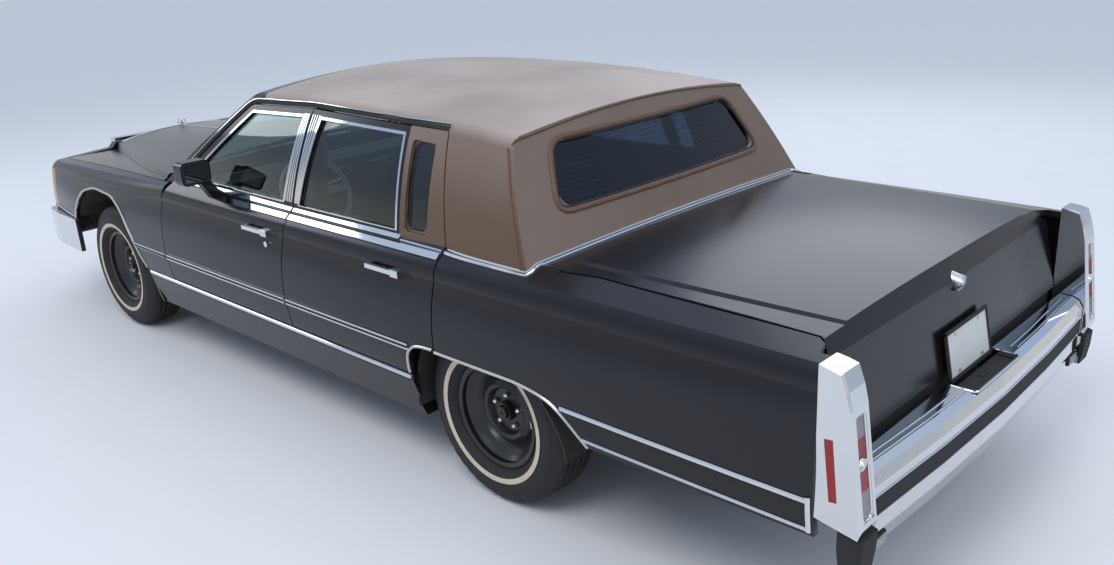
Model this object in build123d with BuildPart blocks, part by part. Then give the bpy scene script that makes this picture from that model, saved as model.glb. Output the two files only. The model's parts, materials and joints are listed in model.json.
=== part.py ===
from build123d import *
from math import cos, hypot, radians, sin
import os

# Frame: +X forward, +Y to the car's left, +Z up, ground at z = 0, origin under the middle of the car

# Overall sizes, mm
LENGTH = 5613
END_X = LENGTH / 2
ROOF_HEIGHT = 1456
FRONT_AXLE_X = 1780
REAR_AXLE_X = -1306
FRONT_TRACK = 1567
REAR_TRACK = 1542
TYRE_RADIUS = 350
WIDE = 1200

# Sheet, door and glass thicknesses, and gaps
SKIN = 22
DOOR_DEPTH = 105
DOOR_STEP = 18
ROOF_WALL = 28
FRAME_FACE = 12
GLASS = 5
GLASS_SINK = 10
SHUT_GAP = 6
TRIM = 7
EDGE_GAP = 0.5
RUN_GAP = 0.3

# Side of the body by station, mirrored to the right side
# x, top y, top z, crest y, crest z, shoulder y, waist y, low y, sill y
FENDER_STATIONS = [
    (2700, 742, 856, 796, 848, 838, 852, 842, 820),
    (2350, 766, 878, 822, 869, 872, 902, 892, 862),
    (1780, 805, 907, 857, 897, 912, 948, 925, 886),
    (991, 880, 948, 903, 938, 934, 967, 937, 895),
]
DOOR_STATIONS = [
    (991, 862, 975, 903, 938, 934, 967, 937, 895),
    (-1126, 862, 972, 903, 935, 934, 967, 937, 895),
]
QUARTER_STATIONS = [
    (-1126, 862, 972, 903, 935, 934, 967, 937, 895),
    (-1900, 768, 964, 896, 935, 927, 962, 934, 890),
    (-2660, 758, 948, 884, 930, 912, 938, 925, 878),
]
SHOULDER_DROP = 72
WAIST_Z = 650
LOW_Z = 440
SILL_Z = 250

# Greenhouse section, left half, and the arc that bows the roof fore and aft
PILLAR_FOOT = (880, 925)
PILLAR_MIDDLE = (800, 1190)
GUTTER_POINT = (706, 1378)
ROOF_EDGE_MIDDLE = (688, 1400)
ROOF_EDGE = (643, 1417)
ROOF_BOW_RADIUS = 12000
ROOF_BOW_X = -200
ROOF_BOW_ANGLE = 10
GREENHOUSE_BASE_Z = 905
# Windshield and rear window faces: x at BELT height in the middle, plan radius, lean, inset factor
WINDSHIELD = (1120, 2460, -1.64, 1.9)
REAR_FACE = (-1545, -9000, 0.53, 1.13)
FACE_Z = 1000

# Door outlines in side view, x and z
FRONT_DOOR = [(985, 455), (985, 890), (935, 958), (880, 984), (352, 1357), (-137, 1373),
              (-112, 455)]
REAR_DOOR = [(-118, 455), (-143, 1373), (-1003, 1354), (-1120, 960),
             (-1120, 600), (-1050, 597), (-1000, 585), (-960, 552), (-944, 484), (-942, 455)]
FRONT_WINDOW = [(770, 995), (740, 1030), (326, 1326), (-85, 1339), (-52, 995)]
REAR_WINDOW = [(-180, 995), (-222, 1339), (-772, 1327), (-830, 995)]
DOOR_VINYL = [(-790, 1381), (-1010, 1366), (-1128, 958), (-856, 958)]
# Small slot window in the vinyl of the rear door: glass, and the wider recess around it
OPERA_SLOT = [(-858, 1305), (-945, 1302), (-985, 1005), (-898, 1005)]
SLOT_RECESS = [(-828, 1316), (-962, 1310), (-1008, 992), (-880, 992)]
SLOT_CORNER = 16
SLOT_SINK = 15

# Wheel arches in side view
FRONT_ARCH = [(1310, 200), (1312, 450), (1372, 600), (1480, 735), (1620, 795), (1900, 800),
              (2080, 755), (2180, 660), (2225, 560), (2230, 200)]
REAR_ARCH = [(-948, 200), (-950, 480), (-965, 548), (-1000, 580), (-1050, 592), (-1570, 592),
             (-1700, 568), (-1770, 510), (-1838, 430), (-1846, 200)]

# Hood at the fender's stations, its wings following the fender tops
# dome foot y, crease y, crease z, middle z
HOOD_DOME = [(424, 408, 896, 940), (520, 504, 911, 957), (677, 661, 937, 979), (862, 846, 968, 998)]
HOOD_FRONT_X = 2636
HOOD_SHEET = 20
HOOD_REAR_MIDDLE_X = 1225
HOOD_REAR_RADIUS = 2836

# Trunk lid: half outline in plan, and its top by station
LID_FRONT_X = -1640
LID_FOOT_Z = 642
LID_PLAN = [(LID_FRONT_X, 800), (-1790, 776), (-2350, 766), (-2572, 764), (-2606, 788), (-2618, 832),
            (-2720, 832)]
# x, outer z, shut line y, shut line z, fold y, fold z, ridge y, ridge z, middle z
LID_STATIONS = [
    (LID_FRONT_X, 951, 798, 967, 728, 972, 712, 981, 998),
    (-2110, 944, 768, 962, 704, 965, 688, 974, 991),
    (-2680, 936, 766, 947, 652, 950, 634, 955, 961),
]
LID_EDGE_Y = 850
# Rear edge, bevel and rear face of the lid in side view, and how far the middle stands out
LID_REAR_LINE = [(-2437, 1200), (-2585, 953), (-2614, 903), (-2664, LID_FOOT_Z)]
LID_PROW = 8
TULIP_PANEL = (-1480, 813, 964, 986)

# Floor
FLOOR_Z = 270
FLOOR_SHEET = 12
TRUNK_FLOOR_Z = 460


def side_face(station, out, depth, rim):
    """One closed section of a side panel, grown outward by out and depth thick."""
    x, top_y, top_z, crest_y, crest_z, shoulder_y, waist_y, low_y, sill_y = station
    shoulder_z = crest_z - SHOULDER_DROP
    rim_y, rim_z = rim
    with BuildSketch(Plane(origin=(x, 0, 0), x_dir=(0, 1, 0), z_dir=(1, 0, 0))) as face:
        with BuildLine():
            Line((sill_y + out, SILL_Z), (low_y + out, LOW_Z))
            ThreePointArc((low_y + out, LOW_Z), (waist_y + out, WAIST_Z),
                          (shoulder_y + out, shoulder_z))
            ThreePointArc((shoulder_y + out, shoulder_z),
                          (shoulder_y * 0.6 + crest_y * 0.4 + 5 + out * 0.9,
                           crest_z - 0.42 * SHOULDER_DROP + out * 0.3),
                          (crest_y + out * 0.7, crest_z + out * 0.7))
            Line((crest_y + out * 0.7, crest_z + out * 0.7), (top_y + out * 0.5, top_z + out))
            Line((top_y + out * 0.5, top_z + out), (top_y - rim_y, top_z - rim_z))
            Line((top_y - rim_y, top_z - rim_z), (crest_y - depth, crest_z - SKIN))
            Line((crest_y - depth, crest_z - SKIN), (shoulder_y - depth, shoulder_z - 4))
            ThreePointArc((shoulder_y - depth, shoulder_z - 4), (waist_y - depth, WAIST_Z),
                          (low_y - depth, LOW_Z))
            Line((low_y - depth, LOW_Z), (sill_y - depth, SILL_Z))
            Line((sill_y - depth, SILL_Z), (sill_y + out, SILL_Z))
        make_face()
    return face.sketch


def side_band(stations, out, depth, rim):
    """The left side of the body over some stations as one panel."""
    with BuildPart() as band:
        loft(sections=[side_face(station, out, depth, rim) for station in stations])
    return band.part


def side_prism(outline, y_from, y_to, grow=0, corner=0):
    """An outline in side view, x and z, as a block from y_from to y_to."""
    with BuildPart() as block:
        with BuildSketch(Plane(origin=(0, y_to, 0), x_dir=(1, 0, 0), z_dir=(0, -1, 0))) as shape:
            with BuildLine():
                Polyline(*outline, close=True)
            make_face()
            if corner:
                fillet(shape.vertices(), radius=corner)
            if grow:
                offset(amount=grow, kind=Kind.INTERSECTION)
        extrude(amount=y_to - y_from)
    return block.part


def side_loft(sections):
    """A block through several outlines in side view, each at its own y."""
    with BuildPart() as block:
        for y, outline in sections:
            with BuildSketch(Plane(origin=(0, y, 0), x_dir=(1, 0, 0), z_dir=(0, -1, 0))):
                with BuildLine():
                    Polyline(*outline, close=True)
                make_face()
        loft(ruled=True)
    return block.part


def front_prism(outline, x_from, x_to, grow=0, corner=0):
    """An outline in front view, y and z, as a block from x_from to x_to."""
    with BuildPart() as block:
        with BuildSketch(Plane(origin=(x_from, 0, 0), x_dir=(0, 1, 0), z_dir=(1, 0, 0))) as shape:
            with BuildLine():
                Polyline(*outline, close=True)
            make_face()
            if corner:
                fillet(shape.vertices(), radius=corner)
            if grow:
                offset(amount=grow, kind=Kind.INTERSECTION)
        extrude(amount=x_to - x_from)
    return block.part


def both_sides(points):
    """A half outline in plan continued on the right side."""
    return points + [(x, -y) for x, y in reversed(points) if y]


def plan_prism(outline, z_from, z_to, grow=0):
    """An outline in plan, x and y, as a block from z_from to z_to."""
    with BuildPart() as block:
        with BuildSketch(Plane.XY.offset(z_from)):
            with BuildLine():
                Polyline(*outline, close=True)
            make_face()
            if grow:
                offset(amount=grow, kind=Kind.INTERSECTION)
        extrude(amount=z_to - z_from)
    return block.part


def box_between(low, high, mode=Mode.ADD):
    """A box between two corners, in the piece being built."""
    centre = [(a + b) / 2 for a, b in zip(low, high)]
    size = [b - a for a, b in zip(low, high)]
    with Locations(tuple(centre)):
        Box(*size, mode=mode)


def rod(start, end, radius, mode=Mode.ADD):
    """A round bar between two points, in the piece being built."""
    run = Vector(*end) - Vector(*start)
    plane = Plane(origin=(Vector(*start) + Vector(*end)) * 0.5, z_dir=run)
    with Locations(plane.location):
        Cylinder(radius, run.length, mode=mode)


def leaning_cut(face, inset):
    """The space behind a curved, leaning glass face, as a slanted round block."""
    x_middle, plan_radius, lean, factor = face
    low_z = GREENHOUSE_BASE_Z - 60
    height = ROOF_HEIGHT + 120 - low_z
    centre_x = x_middle - plan_radius + lean * (low_z - FACE_Z)
    with BuildPart() as block:
        with BuildSketch(Plane.XY.offset(low_z)):
            with Locations((centre_x, 0)):
                Circle(abs(plan_radius) - inset * factor)
        extrude(amount=height * hypot(1, lean), dir=(lean, 0, 1))
    return block.part


def greenhouse(inset):
    """The closed form of the cabin above the belt, shrunk by inset."""
    foot, middle, gutter, edge_middle, edge = [
        (y - inset, z) for y, z in (PILLAR_FOOT, PILLAR_MIDDLE)
    ] + [(y - inset, z - inset * share) for (y, z), share in
         ((GUTTER_POINT, 0.2), (ROOF_EDGE_MIDDLE, 0.8), (ROOF_EDGE, 1))]
    mirror_of = {point: (-point[0], point[1]) for point in (foot, middle, gutter, edge_middle, edge)}
    axis = Axis((ROOF_BOW_X, 0, ROOF_HEIGHT - ROOF_BOW_RADIUS), (0, 1, 0))
    with BuildPart() as bowed:
        with BuildSketch(Plane(origin=(ROOF_BOW_X, 0, 0), x_dir=(0, 1, 0), z_dir=(1, 0, 0))):
            with BuildLine():
                ThreePointArc(foot, middle, gutter)
                ThreePointArc(gutter, edge_middle, edge)
                ThreePointArc(edge, (0, ROOF_HEIGHT - inset), mirror_of[edge])
                ThreePointArc(mirror_of[edge], mirror_of[edge_middle], mirror_of[gutter])
                ThreePointArc(mirror_of[gutter], mirror_of[middle], mirror_of[foot])
                Line(mirror_of[foot], foot)
            make_face()
        revolve(axis=axis, revolution_arc=2 * ROOF_BOW_ANGLE)
    turned = bowed.part.rotate(axis, -ROOF_BOW_ANGLE)
    with BuildPart() as cabin:
        add(turned)
        add(leaning_cut(WINDSHIELD, inset), mode=Mode.INTERSECT)
        add(leaning_cut(REAR_FACE, inset), mode=Mode.INTERSECT)
        box_between((-3000, -WIDE, 500), (3000, WIDE, GREENHOUSE_BASE_Z), mode=Mode.SUBTRACT)
    return cabin.part


def save(piece, name):
    """Label a finished piece and write it under its node name."""
    piece.part.label = name
    export_step(piece.part, f"parts/{name}.step")


def wheel_profile(points):
    """A ring turned about the wheel's axis from radius and width points."""
    with BuildPart() as ring:
        with BuildSketch(Plane.XY):
            with BuildLine():
                Polyline(*points, close=True)
            make_face()
        revolve(axis=Axis.Y)
    return ring.part


def crown_sheet(x_from, x_to, half_width, side_z, middle_z, sheet):
    """A crowned sheet across the car."""
    with BuildPart() as panel:
        with BuildSketch(Plane(origin=(x_from, 0, 0), x_dir=(0, 1, 0), z_dir=(1, 0, 0))):
            with BuildLine():
                ThreePointArc((-half_width, side_z), (0, middle_z), (half_width, side_z))
                Line((half_width, side_z), (half_width, side_z - sheet))
                ThreePointArc((half_width, side_z - sheet), (0, middle_z - sheet),
                              (-half_width, side_z - sheet))
                Line((-half_width, side_z - sheet), (-half_width, side_z))
            make_face()
        extrude(amount=x_to - x_from)
    return panel.part


def hood_section(fender, dome, sheet):
    """One closed section of the hood, wings low and dome raised."""
    x, wing_y, wing_z = fender[0], fender[1] - SHUT_GAP, fender[2]
    foot_y, crease_y, crease_z, middle_z = dome
    half = [(wing_y, wing_z), (foot_y, wing_z + 4), (crease_y, crease_z)]
    low = [(y, z - sheet) for y, z in half]
    with BuildSketch(Plane(origin=(x, 0, 0), x_dir=(0, 1, 0), z_dir=(1, 0, 0))) as face:
        with BuildLine():
            Polyline(*half)
            ThreePointArc((crease_y, crease_z), (0, middle_z), (-crease_y, crease_z))
            Polyline(*[(-y, z) for y, z in reversed(half)], (-wing_y, wing_z - sheet),
                     *[(-y, z) for y, z in low[1:]])
            ThreePointArc((-crease_y, crease_z - sheet), (0, middle_z - sheet),
                          (crease_y, crease_z - sheet))
            Polyline(*reversed(low), (wing_y, wing_z))
        make_face()
    return face.sketch


def hood_form(sheet):
    """The whole hood as a shell or, with a deep sheet, as the space it covers."""
    with BuildPart() as form:
        loft(sections=[hood_section(fender, dome, sheet)
                       for fender, dome in zip(FENDER_STATIONS, HOOD_DOME)])
        box_between((HOOD_FRONT_X, -WIDE, 0), (3000, WIDE, 1200), mode=Mode.SUBTRACT)
        with BuildSketch(Plane.XY.offset(600)):
            with Locations((HOOD_REAR_MIDDLE_X - HOOD_REAR_RADIUS, 0)):
                Circle(HOOD_REAR_RADIUS)
        extrude(amount=600, mode=Mode.SUBTRACT)
    return form.part


def lid_section(station, drop):
    """One closed section of the trunk lid's room, its top lowered by drop."""
    x, outer_z, shut_y, shut_z, fold_y, fold_z, ridge_y, ridge_z, middle_z = station
    half = [(LID_EDGE_Y, outer_z), (shut_y, shut_z), (fold_y, fold_z), (ridge_y, ridge_z)]
    half = [(y, z - drop) for y, z in half]
    ridge = half[-1]
    with BuildSketch(Plane(origin=(x, 0, 0), x_dir=(0, 1, 0), z_dir=(1, 0, 0))) as face:
        with BuildLine():
            Polyline(*half)
            ThreePointArc(ridge, (0, middle_z - drop), (-ridge[0], ridge[1]))
            Polyline(*[(-y, z) for y, z in reversed(half)], (-LID_EDGE_Y, 500), (LID_EDGE_Y, 500), half[0])
        make_face()
    return face.sketch


def lid_rear(shift):
    """Side view of the room in front of the lid's rear face, moved forward by shift."""
    line = [(x + shift, z) for x, z in LID_REAR_LINE]
    return [(LID_FRONT_X, 1200)] + line + [(line[-1][0], 400), (LID_FRONT_X, 400)]


def lid_room(drop):
    """The room under the trunk lid's surface, shrunk by drop at its top and its rear."""
    with BuildPart() as room:
        loft(sections=[lid_section(station, drop) for station in LID_STATIONS])
        add(side_loft([(-900, lid_rear(drop)), (0, lid_rear(drop - LID_PROW)), (900, lid_rear(drop))]),
            mode=Mode.INTERSECT)
    return room.part


os.makedirs("parts", exist_ok=True)

# Shared forms: side skins, arches, cabin shell and the door outlines
fender_skin = side_band(FENDER_STATIONS, 0, SKIN, (0, SKIN))
door_skin = side_band(DOOR_STATIONS, 0, SKIN, (0, SKIN))
door_body = side_band(DOOR_STATIONS, 0, DOOR_DEPTH, (40, 0))
quarter_skin = side_band(QUARTER_STATIONS, 0, SKIN, (0, SKIN))
front_arch = side_prism(FRONT_ARCH, 400, WIDE)
rear_arch = side_prism(REAR_ARCH, 400, WIDE)
cabin_outer = greenhouse(0)
cabin_inner = greenhouse(ROOF_WALL)
cabin_shell = cabin_outer - cabin_inner
frame_shell = cabin_outer - greenhouse(FRAME_FACE)
glass_sheet = greenhouse(GLASS_SINK) - greenhouse(GLASS_SINK + GLASS)
slot_sheet = greenhouse(SLOT_SINK) - greenhouse(SLOT_SINK + GLASS)

WINDSHIELD_OPENING = [(-770, 992), (-618, 1385), (618, 1385), (770, 992)]
REAR_WINDOW_OPENING = [(-622, 1108), (-530, 1318), (530, 1318), (622, 1108)]
windshield_hole = front_prism(WINDSHIELD_OPENING, 200, 1400, 0, 30)
rear_window_hole = front_prism(REAR_WINDOW_OPENING, -1700, -1250, 0, 48)
windshield_pane = front_prism(WINDSHIELD_OPENING, 200, 1400, -EDGE_GAP, 30)
rear_window_pane = front_prism(REAR_WINDOW_OPENING, -1700, -1250, -EDGE_GAP, 48)
front_door_hole = side_prism(FRONT_DOOR, 200, WIDE, SHUT_GAP)
rear_door_hole = side_prism(REAR_DOOR, 200, WIDE, SHUT_GAP)

# Front fenders, with the arch and the notch for the corner lamp
FENDER_FOOT_Z = 575
ROCKER_TOP_Z = 448
FENDER_REAR_X = 991
with BuildPart() as front_fenders:
    add(fender_skin)
    box_between((900, 0, 0), (1290, WIDE, ROCKER_TOP_Z), mode=Mode.SUBTRACT)
    box_between((2000, 0, 0), (2800, WIDE, FENDER_FOOT_Z), mode=Mode.SUBTRACT)
    box_between((2622, 700, 595), (2800, WIDE, 812), mode=Mode.SUBTRACT)
    add(front_arch, mode=Mode.SUBTRACT)
    mirror(about=Plane.XZ)
save(front_fenders, "front_fenders")

quarter_pair = quarter_skin + quarter_skin.mirror(Plane.XZ)
fender_pair = fender_skin + fender_skin.mirror(Plane.XZ)

# Rear quarters with the deck sides, the tulip panel between them and the rockers under the doors
WELL_RADIUS = 388
WELL_LIMIT_Y = 909
ROCKER_X = (-938, 1290)
ROCKER_FACE = [(815, 250), (880, 250), (934, 415), (934, 446), (815, 446)]
with BuildPart() as rocker_bar:
    add(front_prism(ROCKER_FACE, *ROCKER_X))
    rod((REAR_AXLE_X, 500, TYRE_RADIUS), (REAR_AXLE_X, WELL_LIMIT_Y, TYRE_RADIUS),
        WELL_RADIUS + EDGE_GAP, mode=Mode.SUBTRACT)
with BuildPart() as body_sides:
    add(quarter_skin)
    box_between((-2700, 0, 0), (-1800, WIDE, LOW_Z - 8), mode=Mode.SUBTRACT)
    add(rear_arch, mode=Mode.SUBTRACT)
    add(plan_prism(both_sides(LID_PLAN), 600, 1100, SHUT_GAP), mode=Mode.SUBTRACT)
    add(rocker_bar.part)
    mirror(about=Plane.XZ)
    add(crown_sheet(LID_FRONT_X + SHUT_GAP, *TULIP_PANEL, SKIN))
    add(cabin_outer, mode=Mode.SUBTRACT)
save(body_sides, "body_sides")

# Roof with its padded vinyl, running down the rear pillars and around the rear window
VINYL_LOW_Z = 937
front_zone = side_prism([(378, 800), (2000, 800), (2000, 1520), (-20, 1520), (366, 1446), (240, 1368),
                         (240, 800)], -WIDE, WIDE)
with BuildPart() as vinyl_roof:
    add(cabin_shell)
    add(windshield_hole, mode=Mode.SUBTRACT)
    add(rear_window_hole, mode=Mode.SUBTRACT)
    for hole in (front_door_hole, rear_door_hole):
        add(hole, mode=Mode.SUBTRACT)
        add(hole.mirror(Plane.XZ), mode=Mode.SUBTRACT)
    add(front_zone, mode=Mode.SUBTRACT)
    box_between((-3000, -WIDE, 0), (3000, WIDE, VINYL_LOW_Z), mode=Mode.SUBTRACT)
save(vinyl_roof, "vinyl_roof")

# Windshield pillars with the header and the foot under the glass, and the posts between the doors
POST_X = (-155, -75)
POST_SECTION = [(738, 270), (786, 270), (786, 930), (746, 1190), (655, 1368), (640, 1440), (610, 1440),
                (610, 1368), (700, 1190), (738, 930)]
with BuildPart() as cowl_limit:
    with BuildSketch(Plane.XY.offset(700)):
        with Locations((HOOD_REAR_MIDDLE_X - HOOD_REAR_RADIUS, 0)):
            Circle(HOOD_REAR_RADIUS - 12)
    extrude(amount=900)
post_solid = front_prism(POST_SECTION, *POST_X)
post_top = post_solid & cabin_inner
with BuildPart() as pillars:
    add(cabin_shell)
    add(front_zone, mode=Mode.INTERSECT)
    add(windshield_hole, mode=Mode.SUBTRACT)
    add(front_door_hole, mode=Mode.SUBTRACT)
    add(front_door_hole.mirror(Plane.XZ), mode=Mode.SUBTRACT)
    add(cowl_limit.part, mode=Mode.INTERSECT)
    with BuildSketch(Plane.XY.offset(905)) as riser:
        with Locations((HOOD_REAR_MIDDLE_X - HOOD_REAR_RADIUS, 0)):
            Circle(HOOD_REAR_RADIUS - 12)
            Circle(HOOD_REAR_RADIUS - 26, mode=Mode.SUBTRACT)
        with Locations((1100, 0)):
            Rectangle(400, 1640, mode=Mode.INTERSECT)
    extrude(amount=45)
with BuildPart() as door_posts:
    add(post_solid)
    box_between((-1000, 0, 925), (1000, WIDE, 1500), mode=Mode.SUBTRACT)
    add(post_top)
    mirror(about=Plane.XZ)
with BuildPart() as body_pillars:
    add(pillars.part)
    add(door_posts.part)
save(body_pillars, "body_pillars")

# Windshield and rear window, set just inside their openings
with BuildPart() as windshield:
    add(glass_sheet)
    add(windshield_pane, mode=Mode.INTERSECT)
save(windshield, "windshield")
with BuildPart() as rear_window:
    add(glass_sheet)
    add(rear_window_pane, mode=Mode.INTERSECT)
save(rear_window, "rear_window")

# Left doors: outer skin to the shut line, inner body stepped in, window frame above
front_outline = side_prism(FRONT_DOOR, 200, WIDE)
front_core = side_prism(FRONT_DOOR, 200, WIDE, -DOOR_STEP)
rear_outline = side_prism(REAR_DOOR, 200, WIDE)
rear_core = side_prism(REAR_DOOR, 200, WIDE, -DOOR_STEP)
front_opening = side_prism(FRONT_WINDOW, 200, WIDE)
rear_opening = side_prism(REAR_WINDOW, 200, WIDE)
slot_opening = side_prism(OPERA_SLOT, 200, WIDE)
slot_recess = side_prism(SLOT_RECESS, 200, WIDE, corner=SLOT_CORNER)
vinyl_zone = side_prism(DOOR_VINYL, 200, WIDE)
with BuildPart() as rear_well_room:
    rod((REAR_AXLE_X, 500, TYRE_RADIUS), (REAR_AXLE_X, WELL_LIMIT_Y + 5, TYRE_RADIUS),
        WELL_RADIUS + SHUT_GAP)

# Door mirror: rounded head on a leaning foot
MIRROR_LOW = (488, 902, 1020)
MIRROR_HIGH = (575, 1045, 1128)
MIRROR_FOOT = [(856, 952), (902, 936), (962, 1034), (912, 1040)]
MIRROR_FOOT_X = (503, 552)
with BuildPart() as mirror_head:
    box_between(MIRROR_LOW, MIRROR_HIGH)
    fillet(mirror_head.edges().filter_by(Axis.X), radius=26)
    fillet(mirror_head.edges().group_by(Axis.X)[-1], radius=18)
    add(front_prism(MIRROR_FOOT, *MIRROR_FOOT_X))

with BuildPart() as front_door_left:
    add((door_skin & front_outline) + (door_body & front_core))
    add((frame_shell & front_outline) + (cabin_shell & front_core))
    add(front_opening, mode=Mode.SUBTRACT)
    box_between((-3000, 0, 0), (3000, 700, 900), mode=Mode.SUBTRACT)
    add(mirror_head.part)
with BuildPart() as rear_door_left:
    add((door_skin & rear_outline) + (door_body & rear_core))
    add((frame_shell & rear_outline) + (cabin_shell & rear_core))
    add(rear_opening, mode=Mode.SUBTRACT)
    add(slot_opening, mode=Mode.SUBTRACT)
    add((frame_shell & vinyl_zone), mode=Mode.SUBTRACT)
    add(rear_well_room.part, mode=Mode.SUBTRACT)
with BuildPart() as door_vinyl_left:
    add(frame_shell & vinyl_zone)
    add(rear_outline, mode=Mode.INTERSECT)
    add(door_skin, mode=Mode.SUBTRACT)
    add(door_body, mode=Mode.SUBTRACT)
    add(slot_recess, mode=Mode.SUBTRACT)
with BuildPart() as front_door_glass_left:
    add(glass_sheet & side_prism(FRONT_WINDOW, 200, WIDE, -EDGE_GAP))
with BuildPart() as rear_door_glass_left:
    add(glass_sheet & side_prism(REAR_WINDOW, 200, WIDE, -EDGE_GAP))
    add(slot_sheet & side_prism(OPERA_SLOT, 200, WIDE, -EDGE_GAP))

# Bright work on the doors: belt strips, side strip, window surrounds and handles
BELT_STRIPS = [(966, 990), (938, 956)]
SIDE_STRIP = (568, 594)
FRONT_END = 9
REAR_END = -4
door_layer = side_band(DOOR_STATIONS, TRIM, DOOR_DEPTH, (40, 0)) - door_body
frame_layer = greenhouse(-5) - cabin_outer


def strip(x_from, x_to, level):
    """A level strip of a side layer between two x places, as a cutting block."""
    with BuildPart() as block:
        box_between((x_from, 600, level[0]), (x_to, WIDE, level[1]))
    return block.part


def split_x(level, gap):
    """Where a level strip meets the leaning edge between the doors, drawn back by gap."""
    (low_x, low_z), (high_x, high_z) = REAR_DOOR[0], REAR_DOOR[1]
    return low_x + (high_x - low_x) * (level[1] - low_z) / (high_z - low_z) + gap


def pull_handle(x_front, x_rear, z, lock):
    """A pull handle on its two feet, with a round lock below if there is one."""
    with BuildPart() as handle:
        box_between((x_rear, 948, z - 9), (x_front, 964, z + 9))
        box_between((x_front - 16, 920, z - 8), (x_front, 950, z + 8))
        box_between((x_rear, 920, z - 16), (x_rear + 46, 966, z + 14))
        fillet(handle.edges().filter_by(Axis.X).sort_by(Axis.Y)[-2:], radius=3)
        if lock:
            rod((x_rear + 30, 920, z - 52), (x_rear + 30, 958, z - 52), 13)
        add(door_body, mode=Mode.SUBTRACT)
    return handle.part


with BuildPart() as front_trim_left:
    add(door_layer & strip(split_x(BELT_STRIPS[0], FRONT_END), 866, BELT_STRIPS[0]))
    add(door_layer & strip(split_x(BELT_STRIPS[1], FRONT_END), 420, BELT_STRIPS[1]))
    add(door_layer & strip(split_x(SIDE_STRIP, FRONT_END), 981, SIDE_STRIP))
    add(frame_layer & (side_prism(FRONT_WINDOW, 200, WIDE, 11) - front_opening)
        & strip(-2000, 2000, (991, 1500)))
    add(pull_handle(168, -38, 868, True))
    add(mirror_head.part, mode=Mode.SUBTRACT)
    add(door_body, mode=Mode.SUBTRACT)
    add(cabin_outer, mode=Mode.SUBTRACT)
with BuildPart() as rear_trim_left:
    add(door_layer & strip(-864, split_x(BELT_STRIPS[0], REAR_END), BELT_STRIPS[0]))
    add(door_layer & strip(-1116, split_x(BELT_STRIPS[1], REAR_END), BELT_STRIPS[1]))
    add(door_layer & strip(-968, split_x(SIDE_STRIP, REAR_END), SIDE_STRIP))
    add(frame_layer & (side_prism(REAR_WINDOW, 200, WIDE, 11) - rear_opening)
        & strip(-2000, 2000, (991, 1500)))
    add(pull_handle(-745, -950, 862, False))
    add(cabin_outer, mode=Mode.SUBTRACT)

LEFT_PIECES = {
    "front_door": front_door_left,
    "front_door_glass": front_door_glass_left,
    "front_door_trim": front_trim_left,
    "rear_door": rear_door_left,
    "rear_door_glass": rear_door_glass_left,
    "rear_door_trim": rear_trim_left,
    "rear_door_vinyl": door_vinyl_left,
}
for name, piece in LEFT_PIECES.items():
    save(piece, f"{name}_left")
    with BuildPart() as mirrored:
        mirror(piece.part, about=Plane.XZ)
    save(mirrored, f"{name}_right")

# Hood with its raised dome, and the bright strips and ornament on it
with BuildPart() as hood:
    add(hood_form(HOOD_SHEET))
save(hood, "hood")
ORNAMENT_X = 2590
ORNAMENT_Z = 944
RING_RADIUS = 15
hood_room = hood_form(HOOD_SHEET)
with BuildPart() as hood_trim:
    for side in (1, -1):
        with Locations(Plane(origin=(ORNAMENT_X, side * 15, ORNAMENT_Z + 28), z_dir=(1, 0, 0)).location):
            Torus(RING_RADIUS - 3, 3)
    box_between((ORNAMENT_X - 5, -5, ORNAMENT_Z), (ORNAMENT_X + 5, 5, ORNAMENT_Z + 22))
    box_between((ORNAMENT_X - 22, -9, ORNAMENT_Z - 4), (ORNAMENT_X + 22, 9, ORNAMENT_Z + 6))
    add(hood_room, mode=Mode.SUBTRACT)
save(hood_trim, "hood_trim")

# Trunk lid: crowned top with a raised middle, bevel and leaning rear face with a slight prow
with BuildPart() as trunk_lid:
    add(lid_room(0))
    add(lid_room(SKIN), mode=Mode.SUBTRACT)
    add(plan_prism(both_sides(LID_PLAN), LID_FOOT_Z, 1100), mode=Mode.INTERSECT)
save(trunk_lid, "trunk_lid")
LOCK_RADIUS = 27
with BuildPart() as lock_bar:
    rod((-2590, 0, 905), (-2640, 0, 893), LOCK_RADIUS)
    add(lid_room(0), mode=Mode.SUBTRACT)
with BuildPart() as lid_lock:
    add(lock_bar.solids().sort_by(Axis.X)[0])
save(lid_lock, "lid_lock")

# Front panel with its lamp openings
PANEL_X = (2646, 2704)
LAMP_COLUMNS = [(442, 598), (612, 768)]
LAMP_ROW = (668, 806)
TURN_ROW = (602, 648)
GRILLE_HALF = 412
PANEL_EDGE = [(-788, 590), (788, 590), (788, 852), (462, 872), (432, 902), (-432, 902), (-462, 872),
              (-788, 852)]
with BuildPart() as header_panel:
    add(front_prism(PANEL_EDGE, *PANEL_X))
    for side in (1, -1):
        for inner, outer in LAMP_COLUMNS:
            for low_z, high_z in (LAMP_ROW, TURN_ROW):
                low_y, high_y = sorted((side * inner, side * outer))
                box_between((2600, low_y, low_z), (2800, high_y, high_z), mode=Mode.SUBTRACT)
    box_between((2600, -GRILLE_HALF, 596), (2800, GRILLE_HALF, 880), mode=Mode.SUBTRACT)
    add(fender_pair, mode=Mode.SUBTRACT)
save(header_panel, "header_panel")

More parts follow.
